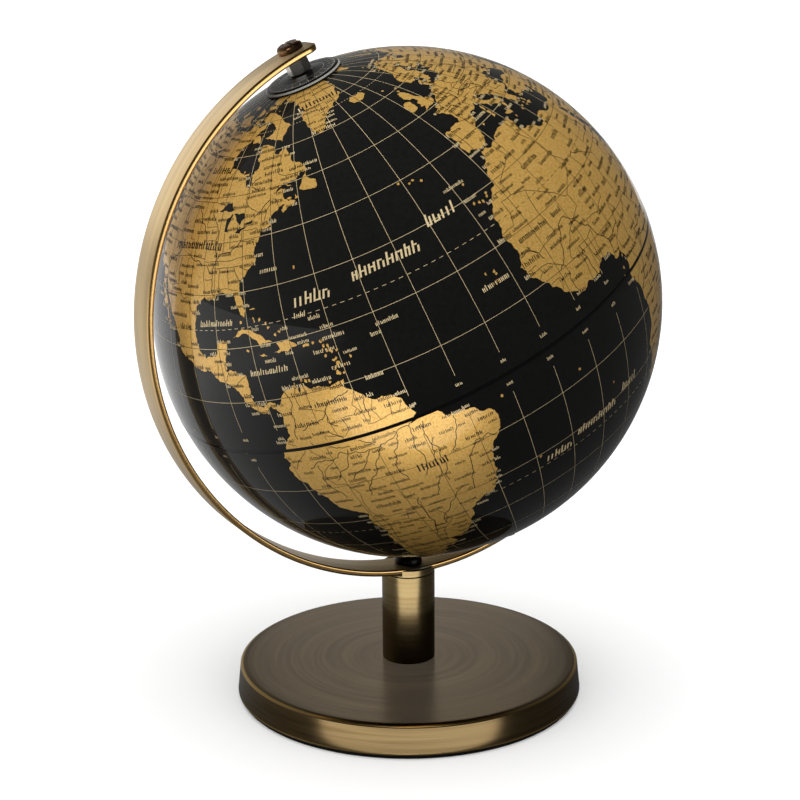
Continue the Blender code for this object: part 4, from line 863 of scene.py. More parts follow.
BORDERS = outlines("""
-123 49 -95.2 49 -89.6 48 / -82.6 45 -82.5 42.5 / -76.3 44.2 -74.7 45 -71.5 45 -70 46.5 -69 47.4
-67.8 47 -67 45 / -141 69.7 -141 60.3 -135.5 59.7 -130 55.9 / -117.1 32.5 -114.8 32.6 -111 31.3
-106.5 31.8 -103.2 29 -101 29.6 -99.3 26.9 -97.4 25.9 / -104 49 -104 41 -102 41 -102 37 -103 37
-103 32 / -111 49 -111 41 / -124 42 -111 42 / -120 42 -120 39 -114.6 35 -114 37 -114 42 / -109 41
-109 31.3 / -114 37 -94.6 37 / -104 45 -96.5 45.5 / -96.5 49 -96.5 43.5 -91.2 43.5 / -95.8 40.6
-91.5 40.6 / -94.6 40.5 -94.6 33.5 -94 30 / -94.5 36.5 -90 36.5 -81.7 36.6 -75.9 36.5 / -90.3 35
-83 35 -81 35 -78.5 33.9 / -91.2 33 -94 33 / -88.2 35 -88.4 30.3 / -85.5 35 -85 31 -87.6 31 / -83
35 -81.2 32 / -85 30.8 -82 30.5 / -87.5 42 -87.5 38 / -84.8 41.7 -84.8 39.1 / -80.5 42 -80.5 39.7
-75.8 39.7 / -79.8 42 -75.3 42 -74.7 41.4 / -73.4 45 -73.5 42 -73.6 41.1 / -71.5 45 -72.5 42.7
-70.9 42.8 / -120 60 -120 54 -114 49 / -110 60 -110 49 / -102 60 -101.5 49 / -95.2 49 -95.2 52.8
-89 56.8 / -124 60 -94.8 60 / -79.5 51.3 -79.5 47.5 -75 45.3 / -57.1 51.4 -57.1 52 -63.7 52 -67 53
-67 55 -64.5 60.3 / -92.2 14.5 -91.5 16 -91 17.8 -89.1 17.8 -88.9 16 / -88.2 15.7 -89.2 14.4 -90
13.9 / -87.3 13 -86 13.8 -83.2 15 / -85.7 11.1 -83.8 10.9 / -82.9 8.2 -82.6 9.5 / -71.4 11.9 -72.8
10.2 -72.4 7.5 -70 7 -67.5 6.2 -67.4 3.5 -66.9 1.2 -69.8 1.7 -69.9 -4.2 / -69.9 -4.2 -72.8 -2.4
-75.3 -0.1 -78.8 1.4 / -75.3 -0.1 -75.2 -1.5 -78.3 -3.5 -79.3 -4.8 -80.3 -3.5 / -69.9 -4.2 -73.2 -6
-73.8 -7.5 -72.5 -9.5 -70.5 -9.5 -69.5 -10.9 -65.4 -9.7 -65.3 -12 / -65.3 -12 -60.5 -13.8 -60.2
-16.2 -58.3 -17 -57.6 -18.2 -58 -20 / -69.5 -10.9 -68.7 -12.5 -69.4 -15.5 -69.5 -17.5 -68.3 -19.5
-68 -22.8 -68.4 -25 -69.3 -28 -70 -32 -70.3 -35 -71 -38 -71.8 -42 -71.8 -46 -72.8 -50 -71.9 -52 /
-67.2 -22.8 -66 -21.9 -62.6 -22.2 -62 -20 -58.2 -19.8 -57.9 -22.1 -55.6 -22.3 -54.3 -24 / -54.3 -24
-54.6 -25.6 -55.8 -27.3 -58.6 -27.2 -57.7 -25.3 -61 -23.8 -62.6 -22.2 / -54.6 -25.6 -53.7 -26.5
-55.8 -28.2 -57.6 -30.2 -58.2 -33 / -57.6 -30.2 -55.6 -30.9 -53.4 -33.5 / -66.9 1.2 -65.5 0.8 -64
1.9 -64.7 4.2 -62 4.2 -60.7 5.2 -61.4 6 -60 8.3 / -60.7 5.2 -59.9 3.5 -59.8 1.8 -57 1.9 -54.5 2.3
-52.9 2.2 -51.7 4.2 / -57.2 5.9 -58 4 -57 2 / -54 5.7 -54.5 2.3 / -13.2 27.7 -8.7 27.7 -8.7 26 -12
26 -12 23.5 -13.1 21.3 -17 21.1 / -8.7 27.7 -8.7 28.8 -5 30.5 -3.5 31 -1.2 32.3 -1.8 35 / 8.2 36.9
8.2 34.5 7.5 33.8 9.5 30.3 9.5 26.3 12 23.5 / -8.7 26 -4.8 25 -6 21 -5.5 16.5 -5.3 15.5 -9.3 15.4
-12 14.8 -14 16.5 -16.3 16.3 / -4.8 25 1.2 21.2 3.2 19.2 4.2 19.2 7.5 20.9 12 23.5 15 23 16 23.4 24
19.5 24 20 25 20 25 31.6 / 25 22 36.9 22 / 15 23 15.5 20.5 13.5 14 9 12.8 4.2 13.5 3.6 11.8 2.8 9
2.7 6.4 / 4.2 19.2 4.2 16.5 0.3 15 -2 14.2 -5.4 11 -5.5 10.3 -2.8 9.7 -2.7 7.5 -3 5.1 / -16.7 12.4
-13.7 12.6 -11.4 12.4 -8 10.2 -7.9 8.5 -8.5 7.5 -7.5 4.4 / -15 11 -13.7 11.7 -13.7 12.6 / -16.6
13.3 -14 13.4 / -13.2 9 -10.7 9.2 -10.3 8.5 -11.4 6.9 / 0 11 0.5 8 1.1 6.1 / 1.6 10.8 1.6 6.2 /
-2.8 9.7 -2.8 11 0 11 0.9 11 3.6 11.8 / 8.6 4.7 9.5 6.5 12 7.5 13.5 10.2 14.2 12.8 15.5 10 15.2 7.5
14.5 5 16.2 2.2 9.8 2.2 / 24 19.5 22.5 14 22.9 11 19 9 15.5 7.5 / 22.9 11 24 8.7 27.4 5 22.4 4.1
18.5 4.3 16.2 2.2 / 18.6 3.5 17.8 -0.5 16 -3.5 14.5 -4.8 12.4 -5.7 / 13 2.2 14.4 0 13.9 -2.3 11.2
-3.9 / 27.4 5 31 3.7 34 4.2 36 4.4 39.5 3.5 42 4.2 45 5 48 8 43 9.3 42.7 11 / 24 8.7 28 9.5 33 10
34 10.5 36.4 14.3 38.5 18 / 36.4 14.3 40 14.4 42.4 12.5 / 34 4.2 34 1 33.9 -1 39.2 -4.7 / 41.9 3.9
41 -0.8 41.6 -1.7 / 31 3.7 31.3 2.2 29.7 0 29.6 -1.4 30.5 -2.4 29.4 -4.5 30.7 -8.3 28.9 -8.5 28.4
-11.8 29.8 -13.5 / 29.8 -13.5 24 -11 22 -11 21.8 -7.3 17 -7.4 16.5 -5.9 12.4 -5.9 / 24 -11 24 -13
22 -13 22 -16.2 23.3 -17.6 18.5 -17.4 14 -17.4 11.8 -17.3 / 21 -18.3 21 -22 20 -22 20 -28.4 16.5
-28.6 / 20 -24.8 23 -25.3 25.6 -25.7 27 -23.7 29.4 -22.2 27.7 -20.5 25.2 -17.8 / 29.4 -22.2 31.3
-22.4 32.8 -20 33 -16 30.4 -15.6 27 -17.9 25.2 -17.8 / 30.4 -15.6 30.2 -14.8 33.2 -14 34.5 -14.5
35.8 -16 34.9 -11.6 40.4 -10.5 / 34.5 -14.5 32.9 -9.4 30.7 -8.3 / 31.3 -22.4 32 -25 32 -26.8 / -7
37.2 -7 41.8 -8.8 41.9 / -1.8 43.4 3.1 42.5 / 2.5 51 6 49.5 8.2 49 7.5 47.6 6 46.4 7 45.5 7.5 43.8
/ 7 53.3 6 51 6 49.5 / 7.5 47.6 10 47.5 13 47.6 13 48.8 12.3 50.3 15 51 14.3 53.9 / 7 45.5 10.4
46.6 13.7 46.5 / 13 48.8 17 48.8 22.5 48.2 26.6 48.2 28.3 45.4 / 17 48.8 16 46.8 19 46 22.5 48.2 /
15 51 18.8 49.6 22.7 49.4 23.7 52 23.6 54 19.7 54.4 / 13.7 45.5 19 46 20.5 44.5 22.5 44 22.5 42.3
26.5 41.6 / 20.3 42 21 40 22.5 41.3 / 22.5 44 28.5 43.8 / 23.7 52 31 52 34 52.3 40 49.7 38.2 47 /
23.6 54 28 56 31 54.5 31 52 / 21 56 28 56 27.5 59.3 / 24 58 27.4 57.5 / 11.3 59 12 61 12 63.5 14.5
66 18 68.5 20.5 69 25.5 69.8 29 69.8 / 28 60.6 31.5 62.8 29.5 65 29 69.8 / 24.1 65.8 23.8 68.5 20.5
69 / 49 46.5 47 48 50 51.5 61 51 61.5 54 70 55 77 54 87 49.2 80.5 45 80 42.3 71 42.3 66 43 56 45 53
42 / 88 49.2 98 52 107 49.8 116 49.8 119.8 47 112 43.8 105 41.6 96 42.8 88 49.2 / 80 42.3 74 39 78
35 79 31 84 28.8 92 27.8 97.3 28.3 98 24.5 101 21.5 106 22.8 108 21.6 / 116 49.8 121 53.3 127 50
131 47.8 135 48.4 130.7 42.5 / 68.2 23.7 71 25 70 28 74.5 31 74 33 / 61.6 25.1 61 29.8 66.5 29.8 70
32 71 34.5 74 37 / 61 29.8 60.6 34 61.2 36.7 67 37.3 71 37.5 / 61.2 36.7 56 38 54 37.4 / 48.5 30 46
33 45 37 44.5 39.7 48 38.4 / 36 36 42 37.1 44.8 37.2 / 42 37.1 41 34.5 39 32 / 35 29.4 37.5 31 39
32 44.7 29.2 46.5 29.1 48.4 28.5 / 43 17.3 48 18 52 19 55 20 55 22.7 51.5 24.2 / 52 19 53 16.7 /
101 21.5 100.5 20 98 19.7 97.5 18 98.5 16 99 12 / 102 22.4 104.5 20 107.5 15 106 11 / 104 18 105.5
14.3 102.5 13.5 / 126 42 129 42.5 / 126.6 37.8 128.4 38.6 / 129 -15 129 -31.7 / 138 -16.7 138 -26
129 -26 / 138 -26 141 -26 141 -38 / 141 -29 149 -29 153.5 -28.2 / 142 -34.2 147 -36.1 150 -37.5 /
141 -2.6 141 -9 / 109.5 1.8 112 1 115 1.5 117.8 4.2
""")
RIVERS = outlines("""
-50.8 -0.8 -52 -1.6 -55 -2.4 -58.5 -3.3 -61 -3.7 -64.5 -3.3 -67.5 -2.7 -70 -4.1 -73.2 -3.8 -76 -5 /
-74 -4.5 -74.5 -7.5 -73.5 -10.5 -72 -13 / -60 -3.1 -62 -1.8 -65 -0.3 -67 1.2 -68.5 2.5 / -58.8 -3.3
-61.5 -6.5 -64 -9.5 -65.3 -11 -66.5 -13.5 / -54.7 -2.4 -57 -5.5 -58 -8.5 -57 -12 / -52 -1.6 -52.5
-5 -51.8 -8 -53.5 -12.5 / -49 -1.7 -49.5 -5 -48.2 -8 -48.5 -12 -49.5 -15.5 / -48.4 -5.4 -50 -9 -51
-14 -53 -17.5 / -61.5 -3.8 -64 -6.5 -68 -9 / -65.8 -2.6 -67.5 -6 -71.5 -8.5 / -65 -2 -69.5 -1.3
-73.5 0.8 / -36.4 -10.4 -38 -9.2 -41 -9.5 -43.5 -13 -45 -17 -45.5 -20 / -43 -3 -44 -6.5 -46 -9.5 /
-58.4 -34 -60.5 -32 -59 -28.5 -58.6 -27.3 -55.3 -27.3 -54.5 -24 -52 -21.5 -50 -19.9 -47.5 -18 /
-58.6 -27.3 -57.7 -25 -58 -21 -57.5 -17 / -61 8.7 -64 8 -66.5 7.5 -67.5 6 -67.8 4 -66 3 / -74.8 11
-74 8.5 -75 5 -76 2 / -58.5 6.5 -58.8 4 -59.5 2 / -67.3 6 -70.5 4.5 -74 3.5 / -62.3 -38.9 -65 -36
-68 -32 / -65.2 -43.3 -69 -43.8 / 31.2 31.3 31 27 33 24 31.5 20 33.5 18 32.5 15.6 32.5 12 31 9.5
31.5 4 31.4 2.3 33.2 0.5 / 32.5 15.6 35 11.5 37.3 12 / 6.2 4.6 6.7 8 4 12 1 15 -1 17 -3.5 16.5 -6
13.5 -9.5 10 / 6.7 8 9.5 8 13 9 / 12.5 -6 15.3 -4.3 17.5 -1 19.5 1.8 22.5 2.2 25.2 0.5 25.8 -5 26.5
-9 / 17.7 -0.5 18.6 4.3 23 4.6 / 36.3 -18.8 33 -16 28.5 -16.5 25.5 -17.9 23 -15 / 16.5 -28.6 20.5
-28.5 24.5 -29.3 28.5 -29.5 / -16.3 16 -13 15.8 -11.5 13.5 / -1.2 5 -1.5 8 -2 11 / 48 46 44.5 48.7
49 53 49 56 43 56.5 37 57 / 73 67 66 66 66 61 70 61 78 60 84 56 83 52 / 69 61 70 58 75 54.5 84 48 /
83 70.5 87 67 90 61 93 56 92 51.8 / 127 72 124 67 126 62 118 60 107 56 / 119 37.5 114 35 110.5 35
111 40.5 107 40 104 36 / 121.5 31.5 117 30.8 112 30 106.5 29.6 102 26.5 98 31 / 106.3 10 105.5 15
102 18 100.5 21 / 90 23 85 25.5 80 27 78 30 / 67.5 24 70 29 73 34 79 32 / 48 30.5 44 33 41 35.5 39
38 / 29.5 45.2 26 44 20.5 44.8 19 47.5 13 48.5 9 48 / 32.5 46.6 35 48 31 50.5 31 54 / 4.5 52 7 51 8
48 / 38 51.5 39 48.5 39.5 47.2 / -0.5 45 1.5 44 / -2 47.2 2.5 47.5 4 45.5 / -89.3 29.2 -91.3 31 -91
33.5 -89.5 37 -91 40 -91 43 -93 45 -95 47.2 / -90.3 38.8 -94.5 39 -96 42 -100 44.5 -104 48 -111
47.5 -112 45.5 / -89.2 37 -86 38 -83 38.7 -80.5 40.5 / -106.5 32 -106.5 37 / -91 34 -97 36.5 -104
38 / -114.8 31.9 -114.5 35 -111 37 -107 39.5 / -124 46.2 -119.5 46 -118 49 -117 51.5 / -134 69
-128.5 65 -121 61.5 -115 61 -111 58.5 -116 56 / -164.5 63 -158 64.8 -147 66 -139 64 / -70 47.3
-73.5 45.5 -76.3 44.2 / -93 57 -97 54 / -79 52 -75 53.5 / -78.7 51.5 -75 50 / 139 -35.5 142 -34.2
147 -36 / 142 -34 145 -30.5 149 -28
""")


def crinkled(
    line: np.ndarray, closed: bool, rough: float, halvings: int, rng: np.random.Generator
) -> np.ndarray:
    """Turn a sketched line into a natural one.

    Each halving puts a point in the middle of every stretch and moves it sideways by a
    random share of the stretch's length.

    Args:
        line: Longitudes and latitudes.
        closed: Whether the last point joins the first.
        rough: The largest sideways share.
        halvings: How many times every stretch is halved.
        rng: The source of the random shares.

    Returns:
        The finer line.
    """
    for _ in range(halvings):
        ahead = np.roll(line, -1, axis=0) if closed else line[1:]
        start = line if closed else line[:-1]
        step = ahead - start
        shrink = np.cos(np.radians(start[:, 1:]))
        east = -step[:, 1:] / np.maximum(shrink, 0.15)
        aside = np.concatenate([east, step[:, :1] * shrink], axis=1)
        share = rng.uniform(-rough, rough, (len(start), 1))
        middle = (start + ahead) / 2 + aside * share
        finer = np.stack([start, middle], axis=1).reshape(-1, 2)
        line = finer if closed else np.concatenate([finer, line[-1:]])
    return line


def evened(line: np.ndarray, step: float) -> np.ndarray:
    """Put extra points on a line's long stretches, no more than a step apart in degrees."""
    counts = np.maximum(1, np.ceil(np.hypot(*np.diff(line, axis=0).T) / step)).astype(int)
    between = [i + np.arange(n) / n for i, n in enumerate(counts)]
    places = np.concatenate(between + [[len(line) - 1]])
    index = np.arange(len(line))
    return np.stack([np.interp(places, index, line[:, k]) for k in (0, 1)], axis=1)


def inside(points: np.ndarray, outline: np.ndarray) -> np.ndarray:
    """Say which points lie inside an outline, by counting the sides that a ray crosses."""
    (x0, y0), (x1, y1) = outline.T, np.roll(outline, -1, axis=0).T
    slope = (x1 - x0) / np.where(y1 == y0, 1e-12, y1 - y0)
    found = []
    for block in np.array_split(points, len(points) // 2000 + 1):
        x, y = block[:, :1], block[:, 1:]
        crossed = ((y0 > y) != (y1 > y)) & (x < slope * (y - y0) + x0)
        found.append(crossed.sum(axis=1) % 2 == 1)
    return np.concatenate(found)


@dataclass
class WorldSketch:
    """The world's coasts, borders and rivers, drawn once for both halves of the ball."""

    seed: int = 7
    land: list[np.ndarray] = field(default_factory=list)
    water: list[np.ndarray] = field(default_factory=list)
    lines: list[tuple[np.ndarray, float]] = field(default_factory=list)

    def draw(self) -> "WorldSketch":
        """Crinkle every outline and line.

        Returns:
            The sketch itself.
        """
        rng = np.random.default_rng(self.seed)
        self.land += [crinkled(line, True, 0.17, 3, rng) for line in MAINLANDS]
        self.land += [crinkled(line, True, 0.15, 2, rng) for line in ISLANDS]
        self.land += [self.islet(centre, rng) for centre in DOTS]
        self.land += self.archipelagos(rng)
        self.water += [crinkled(line, True, 0.15, 2, rng) for line in LAKES]
        self.lines += [(crinkled(line, False, 0.05, 2, rng), BORDER_DEG) for line in BORDERS]
        self.lines += [(crinkled(line, False, 0.16, 3, rng), RIVER_DEG) for line in RIVERS]
        return self

    def islet(self, centre: np.ndarray, rng: np.random.Generator) -> np.ndarray:
        """A small uneven island about a point."""
        angle = np.arange(6) / 6 * TURN
        reach = rng.uniform(0.16, 0.42, 6)
        stretch = 1 / max(math.cos(math.radians(centre[1])), 0.2)
        return centre + np.stack([reach * np.cos(angle) * stretch, reach * np.sin(angle)], axis=1)

    def archipelagos(self, rng: np.random.Generator) -> list[np.ndarray]:
        """Scatter skerries off the coasts that have them.

        Args:
            rng: The source of the random places.

        Returns:
            Their outlines.
        """
        centres = (
            (-96, 73, 14, 4), (-128, 53, 3, 2), (-73, -47, 2, 4), (23, 38, 3, 2), (16, 68, 3, 2),
            (-62, 15, 1.5, 2.5), (128, -2, 6, 5), (122, 12, 4, 5), (-80, 60, 4, 5),
            (125, 34.5, 3, 1),
        )
        made = []
        for lon, lat, wide, tall in centres:
            spots = rng.normal((lon, lat), (wide, tall), (14, 2))
            made += [self.islet(spot, rng) for spot in spots if abs(spot[1]) < 82]
        return made


@dataclass
class MapHalf:
    """Half of the printed map, laid on one half of the ball.

    A point at longitude a and latitude b goes to the turn a + start and the height m above
    the equator, where m = |b| + stretch sin 2|b| - trim (1 - |b| / 90). The stretch and the
    trim are values fitted to where the lines of the printed net lie. What causes them on the
    real ball isn't known.
    """

    sign: float
    trim: float
    start: float
    edge: float
    hole: float
    stretch: float = 4.874
    grid: float = 1.4
    seed: int = 11

    def heights(self, latitude: np.ndarray) -> np.ndarray:
        """Degrees from the equator plane towards this half's pole, for a map latitude."""
        away = latitude * self.sign
        return away + self.stretch * np.sin(np.radians(2 * away)) - self.trim * (1 - away / 90)

    def turned(self, line: np.ndarray) -> np.ndarray:
        """Turn and height in degrees for longitudes and latitudes."""
        return np.stack([line[:, 0] + self.start, self.heights(line[:, 1])], axis=1)

    def unit(self, placed: np.ndarray) -> np.ndarray:
        """Directions from the ball's centre, in its own axes, of turns and heights."""
        turn, rise = np.radians(placed).T
        return np.stack(
            [np.cos(rise) * np.cos(turn), np.cos(rise) * np.sin(turn), np.sin(rise) * self.sign],
            axis=1,
        )

    def clipped(self, placed: np.ndarray) -> np.ndarray:
        """Cut an outline off at the seam: keep what is above it and join the cut ends along it."""
        ahead = np.roll(placed, -1, axis=0)
        above, next_above = placed[:, 1] >= self.edge, ahead[:, 1] >= self.edge
        rise = ahead[:, 1] - placed[:, 1]
        share = (self.edge - placed[:, 1]) / np.where(rise == 0, 1, rise)
        crossing = placed + (ahead - placed) * share[:, None]
        pairs = np.stack([placed, crossing], axis=1).reshape(-1, 2)
        keep = np.stack([above, above != next_above], axis=1).ravel()
        return pairs[keep]

    def flat(self, unit: np.ndarray) -> np.ndarray:
        """Unroll directions about the pole: degrees from the pole, at the same turn."""
        away = np.degrees(np.arccos(np.clip(unit[:, 2] * self.sign, -1, 1)))
        across = np.maximum(np.hypot(unit[:, 0], unit[:, 1]), 1e-12)
        return unit[:, :2] / across[:, None] * away[:, None]

    def rolled(self, flat: np.ndarray) -> np.ndarray:
        """Undo flat(): directions of unrolled points."""
        away = np.hypot(flat[:, 0], flat[:, 1])
        share = np.sin(np.radians(away)) / np.maximum(away, 1e-12)
        rise = np.cos(np.radians(away)) * self.sign
        return np.concatenate([flat * share[:, None], rise[:, None]], axis=1)

    def base_points(self) -> np.ndarray:
        """Unrolled points all over the half, about evenly spaced.

        They lie on rings one grid step apart, with as many points on a ring as its length
        on the sphere takes.
        """
        rings = []
        for ring, away in enumerate(np.arange(self.hole + 0.5, 90 - self.edge - 0.5, self.grid)):
            count = max(8, round(360 * math.sin(math.radians(away)) / self.grid))
            turn = (np.arange(count) + 0.5 * (ring % 2)) / count * TURN
            rings.append(away * np.stack([np.cos(turn), np.sin(turn)], axis=1))
        return np.concatenate(rings)

    def rim(self, outline: np.ndarray) -> np.ndarray:
        """An outline's unrolled edge, cut off at the seam. It has no points if none is left."""
        placed = self.clipped(self.turned(outline))
        if len(placed) < 3:
            return np.zeros((0, 2))
        closed = np.concatenate([placed, placed[:1]])
        return self.flat(self.unit(evened(closed, 1.5)[:-1]))

    def patch(self, outline: np.ndarray, base: np.ndarray) -> tuple[np.ndarray, np.ndarray]:
        """Fill an outline with triangles that follow the sphere.

        Args:
            outline: Longitudes and latitudes.
            base: Unrolled points to draw on for the inside.

        Returns:
            Directions of the points, and three point numbers for each triangle.
        """
        none = np.zeros((0, 3)), np.zeros((0, 3), int)
        edge = self.rim(outline)
        if not len(edge):
            return none
        low, high = edge.min(axis=0), edge.max(axis=0)
        near = base[((base > low) & (base < high)).all(axis=1)]
        points = np.concatenate([edge, near[inside(near, edge)] if len(near) else near])
        border = [(i, (i + 1) % len(edge)) for i in range(len(edge))]
        made = delaunay_2d_cdt([Vector(p) for p in points.tolist()], border, [], 0, 1e-5, False)
        if not made[2]:
            return none
        flat, faces = np.array([tuple(p) for p in made[0]]), np.array(made[2])
        middle = flat[faces].mean(axis=1)
        kept = inside(middle, edge) & (np.hypot(*middle.T) > self.hole)
        return self.rolled(flat), faces[kept]

    def ribbon(self, placed: np.ndarray, width: float) -> np.ndarray:
        """A thin strip along a line: four directions for each of its cells.

        Each point steps aside by half the width, square to the line, to both sides.

        Args:
            placed: Turns and heights of the line.
            width: Its width in degrees.

        Returns:
            The corners of every cell.
        """
        unit = self.unit(placed)
        aside = np.cross(unit, np.gradient(unit, axis=0))
        size = np.maximum(np.linalg.norm(aside, axis=1, keepdims=True), 1e-12)
        aside *= math.radians(width / 2) / size
        left, right = unit + aside, unit - aside
        return np.stack([left[:-1], right[:-1], right[1:], left[1:]], axis=1)

    def net(self) -> list[np.ndarray]:
        """The net of meridians and parallels every ten degrees, with dashed tropics.

        Returns:
            Cells of all the lines.
        """
        made = []
        for lon in range(-180, 180, 10):
            top = 86.0 if lon % 30 == 0 else 79.7
            away = np.linspace(4.2, top, 160) * self.sign
            line = np.stack([np.full(160, float(lon)), away], axis=1)
            made.append(self.ribbon(self.turned(line), NET_DEG))
        turn = np.linspace(-180, 180, 721)
        for away in range(10, 90, 10):
            line = np.stack([turn, np.full(721, away * self.sign)], axis=1)
            made.append(self.ribbon(self.turned(line), NET_DEG))
        for away in (23.5, 66.5):
            line = np.stack([turn, np.full(721, away * self.sign)], axis=1)
            made.append(self.ribbon(self.turned(line), TROPIC_DEG)[np.arange(720) % 4 < 2])
        return made

    def words(self, rows: np.ndarray) -> np.ndarray:
        """Small greeked lettering: rows of strokes that stand for a word but spell nothing.

        Args:
            rows: Longitude, latitude, letter height in degrees, letters and slope for each.

        Returns:
            Cells of the strokes.
        """
        rng = np.random.default_rng(self.seed)
        made = []
        for centre, row in zip(self.unit(self.turned(rows[:, :2])), rows):
            east = np.cross((0, 0, 1), centre)
            east /= np.linalg.norm(east)
            north = np.cross(centre, east)
            strokes = self.letter_strokes(int(row[3]), rng)
            strokes[:, :, 0] -= strokes[:, :, 0].max() / 2
            strokes[:, :, 0] += strokes[:, :, 1] * row[4]
            offset = np.radians(strokes * row[2])
            made.append(centre + offset[..., :1] * east + offset[..., 1:] * north)
        return np.concatenate(made)

    def letter_strokes(self, letters: int, rng: np.random.Generator) -> np.ndarray:
        """Stems and bars for a row of made-up letters, one letter height tall.

        Args:
            letters: How many.
            rng: The source of the random choices.

        Returns:
            Four corners for each stroke.
        """
        bold, boxes, pen = 0.17, [], 0.0
        for _ in range(letters):
            wide = rng.choice([0.3, 0.48, 0.6])
            high = 0.5 if rng.random() < 0.3 else 0.22
            boxes.append((pen, -0.5, pen + bold, high))
            if wide > 0.4:
                boxes.append((pen + wide - bold, -0.5, pen + wide, rng.choice([0.22, 0.22, 0.0])))
                bar = rng.choice([-0.48, -0.14, 0.08])
                boxes.append((pen + bold + 0.01, bar, pen + wide - bold - 0.01, bar + 0.12))
            pen += wide + 0.18
        box = np.array(boxes)
        return np.stack([box[:, pair] for pair in [(0, 1), (2, 1), (2, 3), (0, 3)]], axis=1)


@dataclass
class Globe:
    """The printed ball: two halves, the rib between them and the lettering."""

    axis: Axis
    finishes: Finishes
    radius: float = 0.1249
    wall: float = 0.0025
    rib_radius: float = 0.125
    rib_half: float = 0.0008
    hole_radius: float = 0.008
    film: float = HAIR
    start: float = -67.524
    south_turn: float = -0.614
    south_trim: float = 0.849
    flange: float = 0.1216
    lining: float = 0.1198
    ring_half: float = 0.007
    lettering_seed: int = 23

    def build(self) -> None:
        """Make every piece of the ball."""
        sketch = WorldSketch().draw()
        spots = self.spots(sketch)
        edge = math.degrees(math.asin((self.rib_half + HAIR) / self.radius))
        hole = math.degrees(math.asin(self.hole_radius / self.radius))
        north = MapHalf(1.0, 0.0, self.start, edge, hole)
        south = MapHalf(-1.0, self.south_trim, self.start + self.south_turn, edge, hole)
        self.half("north", sketch, spots, north)
        self.half("south", sketch, spots, south)
        self.rib()

    def spots(self, sketch: WorldSketch) -> np.ndarray:
        """Choose where the lettering goes.

        Large rows cross the oceans. Small rows fill the land and run out to sea off the
        coasts, none on top of another.

        Args:
            sketch: The world's coasts.

        Returns:
            Longitude, latitude, letter height in degrees, letters and slope for each row.
        """
        rng = np.random.default_rng(self.lettering_seed)
        large = [
            (-62, 26.3, 2.5, 5, 0.25), (-43, 27.6, 2.5, 8, 0.25), (-26.5, 30.5, 2.5, 5, 0.25),
            (-24, -22, 2.0, 5, 0.25), (-12, -20.5, 2.0, 8, 0.25), (0, -19, 2.0, 5, 0.25),
            (-77, 15.3, 1.3, 12, 0.2), (-90, 24.8, 1.3, 12, 0.2), (-150, 30, 2.4, 12, 0.25),
            (-128, 28, 2.4, 6, 0.25), (-150, -25, 2.4, 14, 0.25), (-120, -25, 2.4, 8, 0.25),
            (160, 25, 2.4, 14, 0.25), (75, -20, 2.4, 6, 0.25), (90, -19, 2.4, 5, 0.25),
            (-51, -10.5, 1.9, 6, 0), (-65.5, 7.6, 1.2, 9, 0), (-72.5, 4.6, 1.1, 8, 0),
            (-75, -9.3, 1.2, 4, 0), (-64.5, -16.8, 1.2, 7, 0), (-64, -34, 1.6, 9, 0),
            (-100, 40, 2.0, 13, 0), (-100, 57, 2.0, 6, 0), (-102, 24, 1.4, 6, 0),
            (2.5, 28.5, 1.3, 7, 0), (17.5, 28, 1.3, 5, 0), (-6, 31.5, 1.1, 7, 0),
            (-10, 18.6, 1.3, 10, 0),
            (-2, 18.5, 1.2, 4, 0), (9, 17.5, 1.3, 5, 0), (18.5, 15, 1.3, 4, 0), (29, 27, 1.3, 5, 0),
            (30, 15, 1.4, 5, 0), (-14.6, 14.6, 1.1, 7, 0), (8, 9.5, 1.2, 7, 0), (23, -3, 1.5, 6, 0),
            (17.5, -12.5, 1.3, 6, 0), (24.5, -29, 1.4, 10, 0), (134, -24.5, 2.0, 9, 0),
            (90, 62, 2.6, 6, 0), (104, 35, 2.0, 5, 0), (78.5, 22, 1.6, 5, 0), (45, 24, 1.4, 9, 0),
            (-40, 72, 1.8, 9, 0), (67, 48, 1.5, 10, 0), (-24, 15, 1.2, 9, 0),
            (-66, 23.7, 1.1, 4, 0.2),
            (-72, 33.2, 1.0, 7, 0.2), (2.5, 46.5, 1.1, 6, 0), (-3.8, 40, 1.1, 5, 0),
            (20, 65, 1.1, 6, 0),
        ]
        wanted = []
        for outline in sketch.land[: len(MAINLANDS)]:
            low, high = outline.min(axis=0), outline.max(axis=0)
            size = np.prod(high - low)
            tries = rng.uniform(low, high, (int(size / 2.4), 2))
            tries = tries[rng.random(len(tries)) < np.cos(np.radians(tries[:, 1]))]
            wanted += tries[inside(tries, outline)].tolist()
            shore = outline[rng.integers(0, len(outline), len(outline) // 6)]
            wanted += (shore + rng.normal(0, 0.5, shore.shape)).tolist()
        near = rng.normal((-68, 17), (8, 3.5), (60, 2)).tolist()
        near += rng.normal((-19, 28), (3, 5), (12, 2)).tolist()
        taken = [(s[0], s[1], s[2] * s[3] * 0.36, s[2] * 0.75) for s in large]
        rows = list(large)
        for lon, lat in wanted + near:
            tall, letters = rng.uniform(0.72, 1.0), int(rng.integers(4, 11))
            shrink = max(math.cos(math.radians(lat)), 0.25)
            box = (lon, lat, tall * letters * 0.36, tall * 0.75)
            clear = all(
                abs(lon - x) * shrink > box[2] + w or abs(lat - y) > box[3] + h
                for x, y, w, h in taken
            )
            if clear and abs(lat) < 78:
                taken.append(box)
                rows.append((lon, lat, tall, letters, 0.0))
        rows += [(lon, lat, 0.75, 3, 0.0) for lon in range(-180, 180, 10) for lat in (2.6, -2.4)]
        return np.array(rows)

